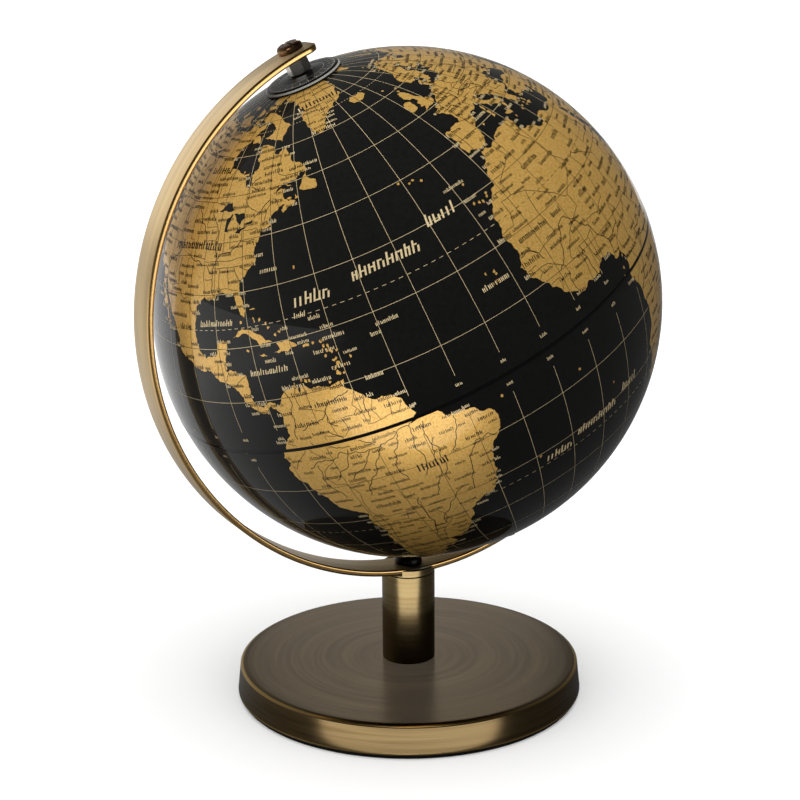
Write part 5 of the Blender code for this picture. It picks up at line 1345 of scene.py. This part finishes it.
    def half(self, name: str, sketch: WorldSketch, rows: np.ndarray, chart: MapHalf) -> None:
        """Build one half of the ball and everything printed on it.

        Args:
            name: Which half.
            sketch: The world's coasts and lines.
            rows: Where the lettering goes.
            chart: How the map lies on this half.
        """
        node = "ball_" + name
        look = self.finishes
        self.shell("shell_" + name, chart, node)
        base = chart.base_points()
        land = [chart.patch(line, base) for line in sketch.land]
        self.foil("land_" + name, land, 1, look.land, node)
        water = [chart.patch(line, base) for line in sketch.water]
        self.foil("lake_" + name, water, 2, look.ocean, node)
        mine = rows[rows[:, 1] * chart.sign > 1.5]
        cells = chart.net() + [chart.words(mine)]
        for line, width in sketch.lines:
            placed = evened(chart.turned(line), 1.2)
            strip = chart.ribbon(placed, width)
            high = (placed[:-1, 1] > chart.edge) & (placed[1:, 1] > chart.edge)
            cells.append(strip[high])
        corners = np.concatenate(cells)
        middle = corners.mean(axis=1)
        middle /= np.linalg.norm(middle, axis=1, keepdims=True)
        dark = self.over(chart.flat(middle), chart, sketch)
        self.ink("print_" + name, corners, dark, node)

    def shell(self, name: str, chart: MapHalf, node: str) -> None:
        """Turn one half of the ball as one closed shell, with its seam edge, hole and lining."""
        away = np.radians(np.linspace(90 - chart.edge, chart.hole, 91))
        outer = self.radius * np.stack([np.sin(away), np.cos(away)], axis=1)
        away = np.radians(np.linspace(chart.hole, 90 - chart.edge, 20))
        inner = (self.radius - self.wall) * np.stack([np.sin(away), np.cos(away)], axis=1)
        axis = self.axis if chart.sign > 0 else self.axis.flipped()
        profile = np.concatenate([outer, inner])
        obj = turned(name, profile, axis, [self.finishes.ocean], 480, True)
        keep_with(obj, "globe", node, node)

    def foil(
        self,
        name: str,
        patches: Sequence[tuple[np.ndarray, np.ndarray]],
        layer: int,
        material: bpy.types.Material,
        node: str,
    ) -> None:
        """Lay filled outlines on the ball.

        Args:
            name: The piece's name.
            patches: Directions and triangles for each.
            layer: How many print layers it lies above the shell.
            material: Its finish.
            node: The solid that it belongs to.
        """
        filled = [patch for patch in patches if len(patch[1])]
        starts = np.cumsum([0] + [len(patch[0]) for patch in filled])
        unit = np.concatenate([patch[0] for patch in filled])
        faces = np.concatenate([patch[1] + start for patch, start in zip(filled, starts)])
        self.printed(name, unit, faces, layer, [material], None, node)

    def ink(self, name: str, corners: np.ndarray, dark: np.ndarray, node: str) -> None:
        """Lay lines and lettering on the ball: gold over the ocean, dark over the land."""
        look = self.finishes
        faces = np.arange(corners.shape[0] * 4).reshape(-1, 4)
        inks = [look.gold_line, look.dark_line]
        self.printed(name, corners.reshape(-1, 3), faces, 3, inks, dark.astype(int), node)

    def printed(
        self,
        name: str,
        unit: np.ndarray,
        faces: np.ndarray,
        layer: int,
        materials: Sequence[bpy.types.Material],
        finish: np.ndarray | None,
        node: str,
    ) -> None:
        """Make one printed layer, a hair above the shell, with the sphere's own normals.

        Args:
            name: The piece's name.
            unit: Directions of its points.
            faces: The point numbers of each face.
            layer: How many print layers it lies above the shell.
            materials: Its finishes.
            finish: The number of each face's finish.
            node: The solid that it belongs to.
        """
        out = unit / np.linalg.norm(unit, axis=1, keepdims=True)
        first, second, third = (out[faces[:, i]] for i in range(3))
        facing = np.einsum("ij,ij->i", np.cross(second - first, third - first), first)
        faces = np.where((facing < 0)[:, None], faces[:, ::-1], faces)
        mesh = bpy.data.meshes.new(name)
        points = self.axis.place(out * (self.radius + layer * self.film))
        mesh.from_pydata(points.tolist(), [], faces.tolist())
        for material in materials:
            mesh.materials.append(material)
        if finish is not None:
            mesh.polygons.foreach_set("material_index", finish.astype(np.int32))
        mesh.shade_smooth()
        normals = self.axis.place(out) - self.axis.origin
        mesh.normals_split_custom_set_from_vertices(normals.tolist())
        keep_with(put(name, mesh), "globe", node)

    def over(self, flat: np.ndarray, chart: MapHalf, sketch: WorldSketch) -> np.ndarray:
        """Say which unrolled points lie over land."""
        found = np.zeros(len(flat), bool)
        for line in sketch.land:
            edge = chart.rim(line)
            if not len(edge):
                continue
            low, high = edge.min(axis=0), edge.max(axis=0)
            near = np.flatnonzero(((flat > low) & (flat < high)).all(axis=1) & ~found)
            if len(near):
                found[near] = inside(flat[near], edge)
        return found

    def rib(self) -> None:
        """Build the ring that joins the halves, with its rounded rib proud of the print."""
        half, flange, lining, deep = self.rib_half, self.flange, self.lining, self.ring_half
        corners = [
            (flange, -half, 0), (self.rib_radius, -half, 0.0003), (self.rib_radius, half, 0.0003),
            (flange, half, 0), (flange, deep, 0), (lining, deep, 0), (lining, -deep, 0),
            (flange, -deep, 0),
        ]
        profile = fillet(corners, 4)
        obj = turned("equator_rib", profile, self.axis, [self.finishes.rib], 240, True)
        keep_with(obj, "globe", "equator_ring", "equator_ring")


@dataclass
class Stand:
    """The base and post."""

    finishes: Finishes
    base_radius: float = 0.0885
    rim_radius: float = 0.0871
    top: float = 0.017
    foot: float = 0.0023
    sheet: float = 0.0012
    post_radius: float = 0.0135
    post_wall: float = 0.002
    slot_half: float = 0.0103
    ear_top: float = 0.068
    floor: float = 0.0647

    def build(self) -> None:
        """Make every piece of the stand below the arm."""
        self.cover()
        self.pad()
        self.post()
        self.cap()
        for name, finish in (
            ("base_weight", self.finishes.iron),
            ("base_washer", self.finishes.zinc),
            ("base_bolt", self.finishes.zinc),
            ("post_foot", self.finishes.steel),
        ):
            dress_solid(name, finish)

    def cover(self) -> None:
        """Spin the cover: flat top, a quarter-ellipse shoulder, a side that widens downwards."""
        angle = np.linspace(math.pi / 2, 0, 13)
        start = self.rim_radius - 0.0037
        shoulder = np.stack(
            [start + 0.0037 * np.cos(angle), self.top - 0.0014 + 0.0014 * np.sin(angle)], axis=1
        )
        rings = np.stack([np.linspace(0.0045, start, 24)[:-1], np.full(23, self.top)], axis=1)
        below = [
            (self.base_radius - 0.0001, self.foot + 0.0009),
            (self.base_radius, self.foot + 0.0006),
            (self.base_radius, self.foot + 0.0002),
            (self.base_radius - 0.0002, self.foot),
            (self.base_radius - self.sheet, self.foot),
            (self.rim_radius - self.sheet, self.top - 0.0014 - self.sheet),
            (start, self.top - self.sheet),
            (0.0045, self.top - self.sheet),
        ]
        profile = np.concatenate([rings, shoulder, below])
        finish = np.zeros(len(profile), int)
        # The middle of the rounded shoulder takes the bright edge brass: a painted highlight.
        finish[23 + 5 : 23 + 10] = 1
        # The lip at the bottom takes it too: a bright line along it.
        finish[23 + 12 + 1 : 23 + 12 + 4] = 1
        look = [self.finishes.base, self.finishes.base_edge_highlight]
        obj = turned("base_cover_spun", profile, Axis.upright(), look, 192, True, finish, 50)
        keep_with(obj, "stand", "base_cover", "base_cover")

    def pad(self) -> None:
        """Cut the pad, with softened edges."""
        radius = self.base_radius - 0.0015
        corners = [(0, 0, 0), (radius, 0, 0.0004), (radius, 0.002, 0.0004), (0, 0.002, 0)]
        obj = turned(
            "base_pad_foam", fillet(corners), Axis.upright(), [self.finishes.pad], 128
        )
        keep_with(obj, "stand", "base_pad", "base_pad")

    def post(self) -> None:
        """Turn the post's tube, with broken edges at both ends."""
        inner, outer = self.post_radius - self.post_wall, self.post_radius
        low, high = self.top + 0.0001, self.floor - 0.0008
        corners = [
            (inner, low, 0), (outer, low, 0.0004), (outer, high, 0.0003), (inner, high, 0),
        ]
        profile = fillet(corners)
        rows = np.stack([np.full(20, outer), np.linspace(low + 0.001, high - 0.001, 20)], axis=1)
        profile = np.concatenate([profile[:7], rows, profile[7:]])
        obj = turned("post_tube_turned", profile, Axis.upright(), [self.finishes.post], 128, True)
        keep_with(obj, "stand", "post_tube", "post_tube")

    def cap(self) -> None:
        """Build the post's cap: a plug with a thin web, and an ear on each side of the arm."""
        low, inner = self.floor - 0.0006, 0.0112
        corners = [
            (0.0043, self.floor, 0), (self.post_radius, self.floor, 0),
            (self.post_radius, low, 0.0002),
            (inner, low, 0), (inner, low - 0.014, 0.0004), (0.0043, low - 0.014, 0),
        ]
        look = [self.finishes.post]
        plug = turned("post_cap_plug", fillet(corners), Axis.upright(), look, 128, True)
        keep_with(plug, "stand", "post_cap", "post_cap")
        for side, name in ((1.0, "post_ear_back"), (-1.0, "post_ear_front")):
            keep_with(self.ear(name, side), "stand", "post_cap")

    def ear(self, name: str, side: float) -> bpy.types.Object:
        """Build one ear: a segment of the post's circle, with its top edge rounded.

        Its outline at an inset e is the arc of radius R - e cut off at the chord y = c + e.
        Rows of growing inset climb the side, round the edge and close the top.

        Args:
            name: The piece's name.
            side: One for the ear at +Y, minus one for the other.

        Returns:
            The new object.
        """
        round_edge, steps = 0.0006, 6
        angle = np.linspace(0, math.pi / 2, steps + 1)
        widest = (self.post_radius - self.slot_half) / 2
        inward = np.linspace(round_edge, widest, 4)[1:]
        inset = np.concatenate([[widest, 0.0], round_edge * (1 - np.cos(angle)), inward])
        height = np.concatenate(
            [
                [self.floor, self.floor],
                self.ear_top - round_edge * (1 - np.sin(angle)),
                np.full(3, self.ear_top),
            ]
        )
        radius = self.post_radius - inset
        chord = self.slot_half + inset
        reach = np.sqrt(np.maximum(radius**2 - chord**2, 0))
        share = np.linspace(-1, 1, 25)
        half = np.arctan2(reach, chord)[:, None]
        swing = half * share
        bow = np.stack([radius[:, None] * np.sin(swing), radius[:, None] * np.cos(swing)], -1)
        flat = np.linspace(1, -1, 9)[1:-1]
        string = np.stack([reach[:, None] * flat, np.repeat(chord[:, None], 7, 1)], -1)
        outline = np.concatenate([bow, string], axis=1)
        columns = outline.shape[1]
        points = np.concatenate(
            [outline * (1, side), np.repeat(height[:, None, None], columns, 1)], axis=-1
        )
        quads = grid_quads(len(inset), columns, True)
        uv = np.stack([points[..., 0], points[..., 2]], -1).reshape(-1, 2)[quads]
        return add_surface(name, points.reshape(-1, 3), quads, [self.finishes.post], uv)


@dataclass
class Arm:
    """The half-circle strip and the screw that holds it to the post."""

    finishes: Finishes
    centre: np.ndarray
    lean: float
    inner: float = 0.1349
    thickness: float = 0.003
    width: float = 0.020
    corner: float = 0.006
    overhang: float = 0.0105
    edge: float = 0.0009

    def build(self) -> None:
        """Make the strip and its screw."""
        self.strip()
        self.screw()

    def strip(self) -> None:
        """Carry the strip's rounded section along its half circle.

        A station lies at an angle t about the ball's centre. Its section has four corner
        arcs. Near an end the section narrows along the plan's corner circle, and thins
        to nothing over the last edge radius, so that the end is closed and rounded.
        """
        outer = self.inner + self.thickness
        start = math.pi / 2 + self.lean - self.overhang / outer
        stop = 3 * math.pi / 2 + self.lean + self.overhang / outer
        ease = self.edge * (1 - np.cos(np.linspace(0, math.pi / 2, 7)))
        bend = self.corner * (1 - np.cos(np.linspace(0.3, math.pi / 2, 14)))
        tip = np.unique(np.concatenate([ease, bend[bend > self.edge]])) / outer
        middle = np.linspace(start + tip[-1], stop - tip[-1], 260)[1:-1]
        angle = np.concatenate([start + tip, middle, (stop - tip)[::-1]])
        distance = np.minimum(angle - start, stop - angle) * outer
        short = np.clip(self.corner - distance, 0, None)
        half = self.width / 2 - self.corner + np.sqrt(self.corner**2 - short**2)
        lack = np.clip(self.edge - distance, 0, None)
        thin = np.sqrt(np.maximum(self.edge**2 - lack**2, 0)) - self.edge
        thick = np.where(distance < self.edge, self.thickness / 2 + thin, self.thickness / 2)
        thick = np.where(distance <= 1e-9, 0.0, thick)
        quarter = np.linspace(0, math.pi / 2, 6)
        arcs = [(1, 1, quarter), (-1, 1, quarter + math.pi / 2), (-1, -1, quarter + math.pi),
                (1, -1, quarter + 3 * math.pi / 2)]
        side_y = np.concatenate([np.full(6, float(sy)) for sy, _, _ in arcs])
        side_r = np.concatenate([np.full(6, float(sr)) for _, sr, _ in arcs])
        turn = np.concatenate([t for _, _, t in arcs])
        across = (half[:, None] - self.edge) * side_y + self.edge * np.cos(turn)
        depth = (self.thickness / 2 - self.edge) * side_r + self.edge * np.sin(turn)
        depth = depth * (thick / (self.thickness / 2))[:, None]
        radius = self.inner + self.thickness / 2 + depth
        points = np.stack(
            [radius * np.cos(angle)[:, None], across, radius * np.sin(angle)[:, None]], axis=-1
        ) + self.centre
        rows, columns = across.shape
        quads = grid_quads(rows, columns, True)
        run = np.repeat(angle[:, None] * outer, columns + 1, 1)
        section = np.stack([across[rows // 2], depth[rows // 2]], 1)
        section = np.concatenate([section, section[:1]])
        around = np.concatenate([[0], np.cumsum(np.hypot(*np.diff(section, axis=0).T))])
        uv = np.stack([run, np.broadcast_to(around, (rows, columns + 1))], -1).reshape(-1, 2)
        uv = uv[grid_quads(rows, columns + 1, False)]
        # Every column but the two wide faces takes the brighter edge brass: a painted highlight on
        # the strip's rounded edges and narrow sides.
        wide = np.zeros(columns, int) + 1
        wide[[5, 17]] = 0
        finish = np.tile(wide, rows - 1)
        look = [self.finishes.arm, self.finishes.arm_edge_highlight]
        obj = add_surface("arm_strip", points.reshape(-1, 3), quads, look, uv, finish)
        keep_with(obj, "stand", "meridian_arm", "meridian_arm")

    def screw(self) -> None:
        """Build the button-head screw with its hexagon socket.

        The socket's rows lie at the hexagon's own radius, half its width across the flats
        over the cosine of the angle to the nearest flat.
        """
        low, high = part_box("arm_screw")
        seat = high.z - 0.0044
        crown = np.linspace(0.10, math.pi / 2, 10)[::-1]
        dome = [
            (0.0036 + 0.0034 * math.cos(a), seat + 0.0008 + 0.0036 * math.sin(a)) for a in crown
        ]
        rows = [(0.0, high.z - 0.0026, 0.0), (1.0, high.z - 0.0026, 1.0), (1.0, high.z, 1.0)]
        rows += [(radius, height, 0.0) for radius, height in dome]
        rows += [(0.007, seat + 0.0003, 0.0), (0.0068, seat, 0.0), (0.004, seat, 0.0),
                 (0.004, low.z + 0.0006, 0.0), (0.0034, low.z, 0.0), (0.0, low.z, 0.0)]
        table = np.array(rows)
        angle = np.arange(96) / 96 * TURN
        nearest = (angle + math.pi / 6) % (math.pi / 3) - math.pi / 6
        hexagon = 0.0025 / np.cos(nearest)
        radius = table[:, :1] * (1 - table[:, 2:]) + table[:, 2:] * hexagon
        points = ring_points(radius, table[:, 1:2], angle)
        quads = grid_quads(len(table), len(angle), True)
        obj = add_surface("arm_button_screw", points, quads, [self.finishes.black_steel])
        keep_with(obj, "stand", "arm_screw", "arm_screw")


@dataclass
class Pivots:
    """The slotted screws, the long nuts and the washer at the two poles."""

    finishes: Finishes
    north: Axis
    head_seat: float = 0.1382
    head_top: float = 0.142
    head_radius: float = 0.0062
    pin_radius: float = 0.003
    pin_end: float = 0.115
    nut_low: float = 0.1276
    nut_high: float = 0.1346
    nut_flat: float = 0.005
    slot_half: float = 0.00065
    slot_depth: float = 0.0013
    slot_reach: float = 0.009
    washer_bore: float = 0.0049
    washer_radius: float = 0.0074
    washer_low: float = 0.1259
    washer_high: float = 0.1273

    def build(self) -> None:
        """Make every piece at both poles."""
        for name, axis in (("north", self.north), ("south", self.north.flipped())):
            self.screw(name, axis)
            self.nut(name, axis)
            dress_solid("pole_bush_" + name, self.finishes.nylon)
        self.washer(self.north.flipped())

    def screw(self, name: str, axis: Axis) -> None:
        """Turn a pan-head screw and cut its slot.

        Args:
            name: Which pole.
            axis: That pole's axes.
        """
        corners = [
            (0, self.head_top, 0), (self.head_radius, self.head_top, 0.0022),
            (self.head_radius, self.head_seat, 0.0004), (self.pin_radius, self.head_seat, 0),
            (self.pin_radius, self.pin_end, 0.0005), (0, self.pin_end, 0),
        ]
        look = [self.finishes.bronze]
        obj = turned("pole_screw_head_" + name, fillet(corners, 8), axis, look, 96)
        signs = np.array([(x, y, z) for x in (-1, 1) for y in (-1, 1) for z in (-1, 1)], float)
        box = signs * (self.slot_half, self.slot_reach, self.slot_depth) + (0, 0, self.head_top)
        sides = np.array([
            (0, 1, 3, 2), (4, 6, 7, 5), (0, 4, 5, 1), (2, 3, 7, 6), (0, 2, 6, 4), (1, 5, 7, 3),
        ])
        cutter = add_surface("slot_cutter", axis.place(box), sides, look)
        cutting = obj.modifiers.new("slot", "BOOLEAN")
        cutting.operation = "DIFFERENCE"
        cutting.solver = "EXACT"
        cutting.object = cutter
        bpy.context.view_layer.update()
        graph = bpy.context.evaluated_depsgraph_get()
        cut = bpy.data.meshes.new_from_object(obj.evaluated_get(graph))
        obj.modifiers.clear()
        obj.data = cut
        cut.set_sharp_from_angle(angle=math.radians(35))
        bpy.data.objects.remove(cutter)
        keep_with(obj, "stand", "pole_screw_" + name, "pole_screw_" + name)

    def nut(self, name: str, axis: Axis) -> None:
        """Build a long nut whose corners are chamfered at both ends.

        Each row's radius is the hexagon's or the chamfer cone's, whichever is less.

        Args:
            name: Which pole.
            axis: That pole's axes.
        """
        corner = self.nut_flat / math.cos(math.pi / 6)
        drop = 0.0005
        height = np.concatenate(
            [
                [self.nut_low],
                np.linspace(self.nut_low, self.nut_low + drop, 6),
                np.linspace(self.nut_high - drop, self.nut_high, 6),
                [self.nut_high],
            ]
        )
        near = np.minimum(height - self.nut_low, self.nut_high - height)
        cone = self.nut_flat * 0.985 + near * (corner - self.nut_flat * 0.985) / drop
        angle = np.arange(144) / 144 * TURN
        nearest = (angle + math.pi / 6) % (math.pi / 3) - math.pi / 6
        radius = np.minimum(self.nut_flat / np.cos(nearest), cone[:, None])
        radius[[0, -1]] = self.pin_radius + 0.00015
        radius = np.concatenate([radius, radius[:1]])
        height = np.concatenate([height, height[:1]])
        points = axis.place(ring_points(radius, height[:, None], angle))
        quads = grid_quads(len(height), len(angle), True)
        look = [self.finishes.nickel]
        obj = add_surface("pole_nut_hex_" + name, points, quads, look, sharp_deg=25)
        keep_with(obj, "stand", "pole_nut_" + name, "pole_nut_" + name)

    def washer(self, axis: Axis) -> None:
        """Turn the washer that the ball's weight rests on."""
        inner, outer, low, high = (
            self.washer_bore, self.washer_radius, self.washer_low, self.washer_high
        )
        corners = [(inner, high, 0), (outer, high, 0.0004), (outer, low, 0.0004), (inner, low, 0)]
        obj = turned(
            "thrust_washer_turned", fillet(corners), axis, [self.finishes.washer], 96, True
        )
        keep_with(obj, "stand", "thrust_washer", "thrust_washer")


@dataclass
class Dial:
    """The hour dial: a dished disc with printed rings, ticks and figures."""

    finishes: Finishes
    axis: Axis
    radius: float = 0.0189
    bore: float = 0.00466
    hub_radius: float = 0.0068
    hub_top: float = 0.1272
    cone_radius: float = 0.0108
    cone_top: float = 0.12627
    rim_low: float = 0.12407
    rim_height: float = 0.0005
    bevel: float = 0.0014
    columns: int = 480

    def build(self) -> None:
        """Make the dial and its figures."""
        self.disc()
        self.figures()

    def slope(self, radius: np.ndarray) -> np.ndarray:
        """Height of the dial's printed face at a radius: a straight fall from cone to bevel."""
        edge = self.radius - self.bevel
        low = self.rim_low + self.rim_height + self.bevel
        run = edge - self.cone_radius
        return self.cone_top + (radius - self.cone_radius) * (low - self.cone_top) / run

    def disc(self) -> None:
        """Turn the disc. Its rings and ticks are cells of the grid that take the print's finish."""
        edge = self.radius - self.bevel
        lines = np.array([0.0108, 0.0112, 0.0114, 0.0128, 0.0151, 0.0157, 0.0166, 0.0168, edge])
        face = np.stack([lines, self.slope(lines)], axis=1)
        under = 0.1255
        pocket = 0.0083
        low = np.linspace(self.radius, pocket, 6)
        profile = np.concatenate(
            [
                [(self.bore, self.hub_top), (self.hub_radius - 0.0002, self.hub_top)],
                [(self.hub_radius, self.hub_top - 0.0002)],
                face,
                [(self.radius - self.bevel / 2, self.rim_low + self.rim_height + self.bevel / 2)],
                [(self.radius, self.rim_low + self.rim_height)],
                np.stack([low, np.sqrt(under**2 - low**2)], axis=1),
                [(pocket, 0.1259), (self.bore, 0.1259)],
            ]
        )
        bands = len(profile)
        finish = np.zeros((bands, self.columns), int)
        finish[[4, 9]] = 1
        column = np.arange(self.columns)
        finish[7, column % 20 < 2] = 1
        finish[8, column % 5 < 1] = 1
        finish[8, column % 20 < 2] = 1
        # The outer half of the bevel takes the print's finish all round: a painted highlight on the
        # dial's edge, not print.
        finish[12] = 1
        closed = np.concatenate([profile, profile[:1]])
        angle = column / self.columns * TURN
        points = self.axis.place(ring_points(closed[:, :1], closed[:, 1:], angle))
        quads = grid_quads(len(closed), self.columns, True)
        look = [self.finishes.dial, self.finishes.dial_print_and_highlight]
        obj = add_surface("dial_disc", points, quads, look, None, finish.ravel(), 20)
        keep_with(obj, "dial", "hour_dial", "hour_dial")

    def figures(self) -> None:
        """Lay the hours 1 to 12, twice, on the dial's face.

        A figure's flat outline is turned to face outwards at its hour and dropped on to
        the printed slope, a hair above the enamel.
        """
        points, faces, count = [], [], 0
        for hour in range(24):
            curve = bpy.data.curves.new("figure", "FONT")
            curve.body = str(hour % 12 + 1)
            curve.size = 0.0019
            curve.align_x = "CENTER"
            curve.resolution_u = 3
            holder = bpy.data.objects.new("figure", curve)
            bpy.context.scene.collection.objects.link(holder)
            bpy.context.view_layer.update()
            mesh = bpy.data.meshes.new_from_object(
                holder.evaluated_get(bpy.context.evaluated_depsgraph_get())
            )
            flat = np.zeros(len(mesh.vertices) * 3, np.float32)
            mesh.vertices.foreach_get("co", flat)
            flat = flat.reshape(-1, 3)[:, :2]
            turn = (hour + 1) / 24 * TURN
            out = np.array([math.cos(turn), math.sin(turn)])
            along = np.array([-out[1], out[0]])
            plan = out * (0.0134 + flat[:, 1:]) - along * flat[:, :1]
            reach = np.linalg.norm(plan, axis=1)
            height = self.slope(reach) + HAIR
            points.append(np.column_stack([plan, height]))
            faces += [[count + i for i in face.vertices] for face in mesh.polygons]
            count += len(flat)
            bpy.data.objects.remove(holder)
        placed = self.axis.place(np.concatenate(points))
        mesh = bpy.data.meshes.new("dial_figures")
        mesh.from_pydata(placed.tolist(), [], faces)
        mesh.materials.append(self.finishes.dial_print_and_highlight)
        keep_with(put("dial_figures", mesh), "dial", "hour_dial")


# ---------------------------------------------------------------- the room


@dataclass
class Studio:
    """The pale floor, the soft light and the camera."""

    ball_centre: Vector
    azimuth: float = -27.156
    elevation: float = 14.581
    roll: float = -0.397
    distance: float = 0.891617
    aside: float = 0.003307
    rise: float = 0.047622
    lens: float = 81.29

    def build(self) -> None:
        """Make the room."""
        self.floor()
        self.world()
        self.lights()
        self.camera()
        bpy.context.scene.view_settings.view_transform = "Standard"

    def floor(self) -> None:
        """Lay a wide floor: white where the camera sees it, greyer in light and reflections."""
        mesh = bpy.data.meshes.new("floor")
        reach = 12.0
        mesh.from_pydata(
            [(-reach, -reach, 0), (reach, -reach, 0), (reach, reach, 0), (-reach, reach, 0)],
            [], [(0, 1, 2, 3)],
        )
        material, tree, shader = new_shader("pale matt floor")
        place = add_node(tree, "ShaderNodeTexCoord")
        parts = add_node(tree, "ShaderNodeSeparateXYZ", {0: place.outputs["Object"]})
        behind = calculate(tree, "MULTIPLY_ADD", parts.outputs["Y"], 0.8, 0.5)
        behind = calculate(tree, "MULTIPLY_ADD", parts.outputs["X"], -0.6, behind)
        lit = ramp(
            tree, behind, [(0.3, "444444"), (0.5, "5C5C5C"), (0.75, "A0A0A0"), (1.0, "D8D8D8")]
        )
        path = add_node(tree, "ShaderNodeLightPath")
        colour = add_node(
            tree, "ShaderNodeMix",
            {"Factor": path.outputs["Is Camera Ray"], 6: lit, 7: linear("FFFFFF")},
            data_type="RGBA",
        )
        tree.links.new(colour.outputs[2], shader.inputs["Base Color"])
        set_sockets(shader, Roughness=0.9, Specular_IOR_Level=0.1)
        mesh.materials.append(material)
        put("floor", mesh)

    def world(self) -> None:
        """Set the room's glow: white where the camera sees it, grey in light and reflections."""
        world = bpy.data.worlds.new("studio")
        world.use_nodes = True
        tree = world.node_tree
        tree.nodes.clear()
        place = add_node(tree, "ShaderNodeTexCoord")
        parts = add_node(tree, "ShaderNodeSeparateXYZ", {0: place.outputs["Generated"]})
        turn = math.radians(self.azimuth + 45)
        facing = calculate(tree, "MULTIPLY", parts.outputs["X"], math.sin(turn))
        facing = calculate(
            tree, "MULTIPLY_ADD", parts.outputs["Y"], -math.cos(turn), facing
        )
        height = parts.outputs["Z"]
        shade = calculate(tree, "MULTIPLY_ADD", facing, -0.5, 0.5)
        glow = ramp(
            tree, shade,
            [
                (0.0, "484847"), (0.35, "424241"), (0.62, "626260"), (0.85, "9A9A98"),
                (1.0, "A8A8A6"),
            ],
        )
        above = ramp(
            tree, height, [(0.0, "FFFFFF"), (0.35, "E4E4E4"), (0.8, "B0B0B0"), (1.0, "A0A0A0")]
        )
        mixed = add_node(
            tree, "ShaderNodeMix", {"Factor": 1.0, 6: glow, 7: above},
            data_type="RGBA", blend_type="MULTIPLY",
        )
        path = add_node(tree, "ShaderNodeLightPath")
        chosen = add_node(
            tree, "ShaderNodeMix",
            {"Factor": path.outputs["Is Camera Ray"], 6: mixed.outputs[2], 7: (1.0, 1.0, 1.0, 1.0)},
            data_type="RGBA",
        )
        back = add_node(tree, "ShaderNodeBackground", {"Color": chosen.outputs[2], "Strength": 1.0})
        add_node(tree, "ShaderNodeOutputWorld", {"Surface": back.outputs["Background"]})
        bpy.context.scene.world = world

    def lights(self) -> None:
        """Hang a wide soft sun over the floor, and cards that light only the pieces they name."""
        sun = bpy.data.lights.new("wide soft light", "SUN")
        sun.energy = 4.2
        sun.angle = math.radians(120)
        above = bpy.data.objects.new("wide soft light", sun)
        above.rotation_euler = (math.radians(14), math.radians(-8), 0.0)
        above.visible_glossy = False
        bpy.context.scene.collection.objects.link(above)
        a = math.radians(self.azimuth)
        front = Vector((math.sin(a), -math.cos(a), 0))
        low = Vector((0, 0, 0.1))
        glow = front * 0.46 + Vector((0, 0, 0.004))
        edge = Vector((0.353, -0.689, 0.12))
        self.card("foil glow", glow, glow + Vector((0, 0, 1)), 0.46, 0.95, ("land_", "print_"))
        near = front * 0.36 + Vector((0, 0, 0.003))
        self.card("metal glow", near, near + Vector((0, 0, 1)), 0.54, 1.75, ("base_", "post_"))
        behind = front * -1.2 + Vector((0, 0, 0.5))
        self.card("base card", behind, low, 0.4, 0.10, ("base_cover",))
        self.card("base streak", behind, low, 0.4, 0.05, ("base_cover", "post_"))
        self.card("rim card", front * 0.3 + Vector((0, 0, 1.2)), low, 0.5, 0.9, ("base_cover",))
        self.card("edge card", edge, Vector((0, 0, 0.2)), 0.6, 1.9, ("arm_",))
        over = Vector((-0.45, 1.05, 0.75))
        self.card("arm card", over, Vector((-0.1, 0, 0.25)), 1.0, 3.0, ("arm_",))
        self.card("pivot card", front * -1.3 + Vector((0, 0, 0.9)), low, 0.5, 4.0, ("pole_",))
        self.card("pivot front card", front + Vector((-0.6, 0, 0.9)), low * 3, 0.6, 3.0, ("pole_",))

    def card(
        self, name: str, place: Vector, aim: Vector, size: float, power: float,
        pieces: tuple[str, ...],
    ) -> None:
        """Hang one round lamp that lights, and is blocked by, only some pieces.

        Args:
            name: Its name.
            place: Where it hangs.
            aim: What it points at.
            size: Its width.
            power: Its power in watts.
            pieces: How the names of those pieces start.
        """
        lamp = bpy.data.lights.new(name, "AREA")
        lamp.shape = "DISK"
        lamp.size = size
        lamp.energy = power
        obj = bpy.data.objects.new(name, lamp)
        obj.location = place
        obj.rotation_euler = (aim - place).to_track_quat("-Z", "Y").to_euler()
        obj.visible_camera = False
        shown = bpy.data.collections.new(name)
        for piece in bpy.data.objects:
            if piece.name.startswith(pieces):
                shown.objects.link(piece)
        obj.light_linking.receiver_collection = shown
        obj.light_linking.blocker_collection = shown
        bpy.context.scene.collection.objects.link(obj)

    def camera(self) -> None:
        """Stand the camera at its angle, with the ball's centre a little off the view's middle."""
        a, e, roll = (math.radians(x) for x in (self.azimuth, self.elevation, self.roll))
        back = Vector((math.sin(a) * math.cos(e), -math.cos(a) * math.cos(e), math.sin(e)))
        level = Vector((math.cos(a), math.sin(a), 0.0))
        upright = back.cross(level)
        right = level * math.cos(roll) + upright * math.sin(roll)
        up = upright * math.cos(roll) - level * math.sin(roll)
        place = self.ball_centre - right * self.aside - up * self.rise + back * self.distance
        data = bpy.data.cameras.new("camera")
        data.sensor_width = 36.0
        data.lens = self.lens
        data.clip_start = 0.01
        obj = bpy.data.objects.new("camera", data)
        turn = Matrix((right, up, back)).transposed().to_4x4()
        obj.matrix_world = Matrix.Translation(place) @ turn
        bpy.context.scene.collection.objects.link(obj)
        bpy.context.scene.camera = obj


def main() -> None:
    """Build the looks piece by piece."""
    logging.basicConfig(level=logging.INFO, format="%(name)s: %(message)s", stream=sys.stdout)
    for obj in [o for o in bpy.data.objects if o.type in ("CAMERA", "LIGHT") or o.name == "Cube"]:
        bpy.data.objects.remove(obj)
    spin = next(joint for joint in frame["joints"] if joint["name"] == "globe_spin")
    axis = Axis.leaning(spin["pos_m"], spin["axis"])
    lean = math.atan2(-axis.up[0], axis.up[2])
    finishes = Finishes()
    Stand(finishes).build()
    Arm(finishes, axis.origin, lean).build()
    Pivots(finishes, axis).build()
    Dial(finishes, axis).build()
    Globe(axis, finishes).build()
    Studio(Vector(spin["pos_m"])).build()


if __name__ == "__main__":
    main()
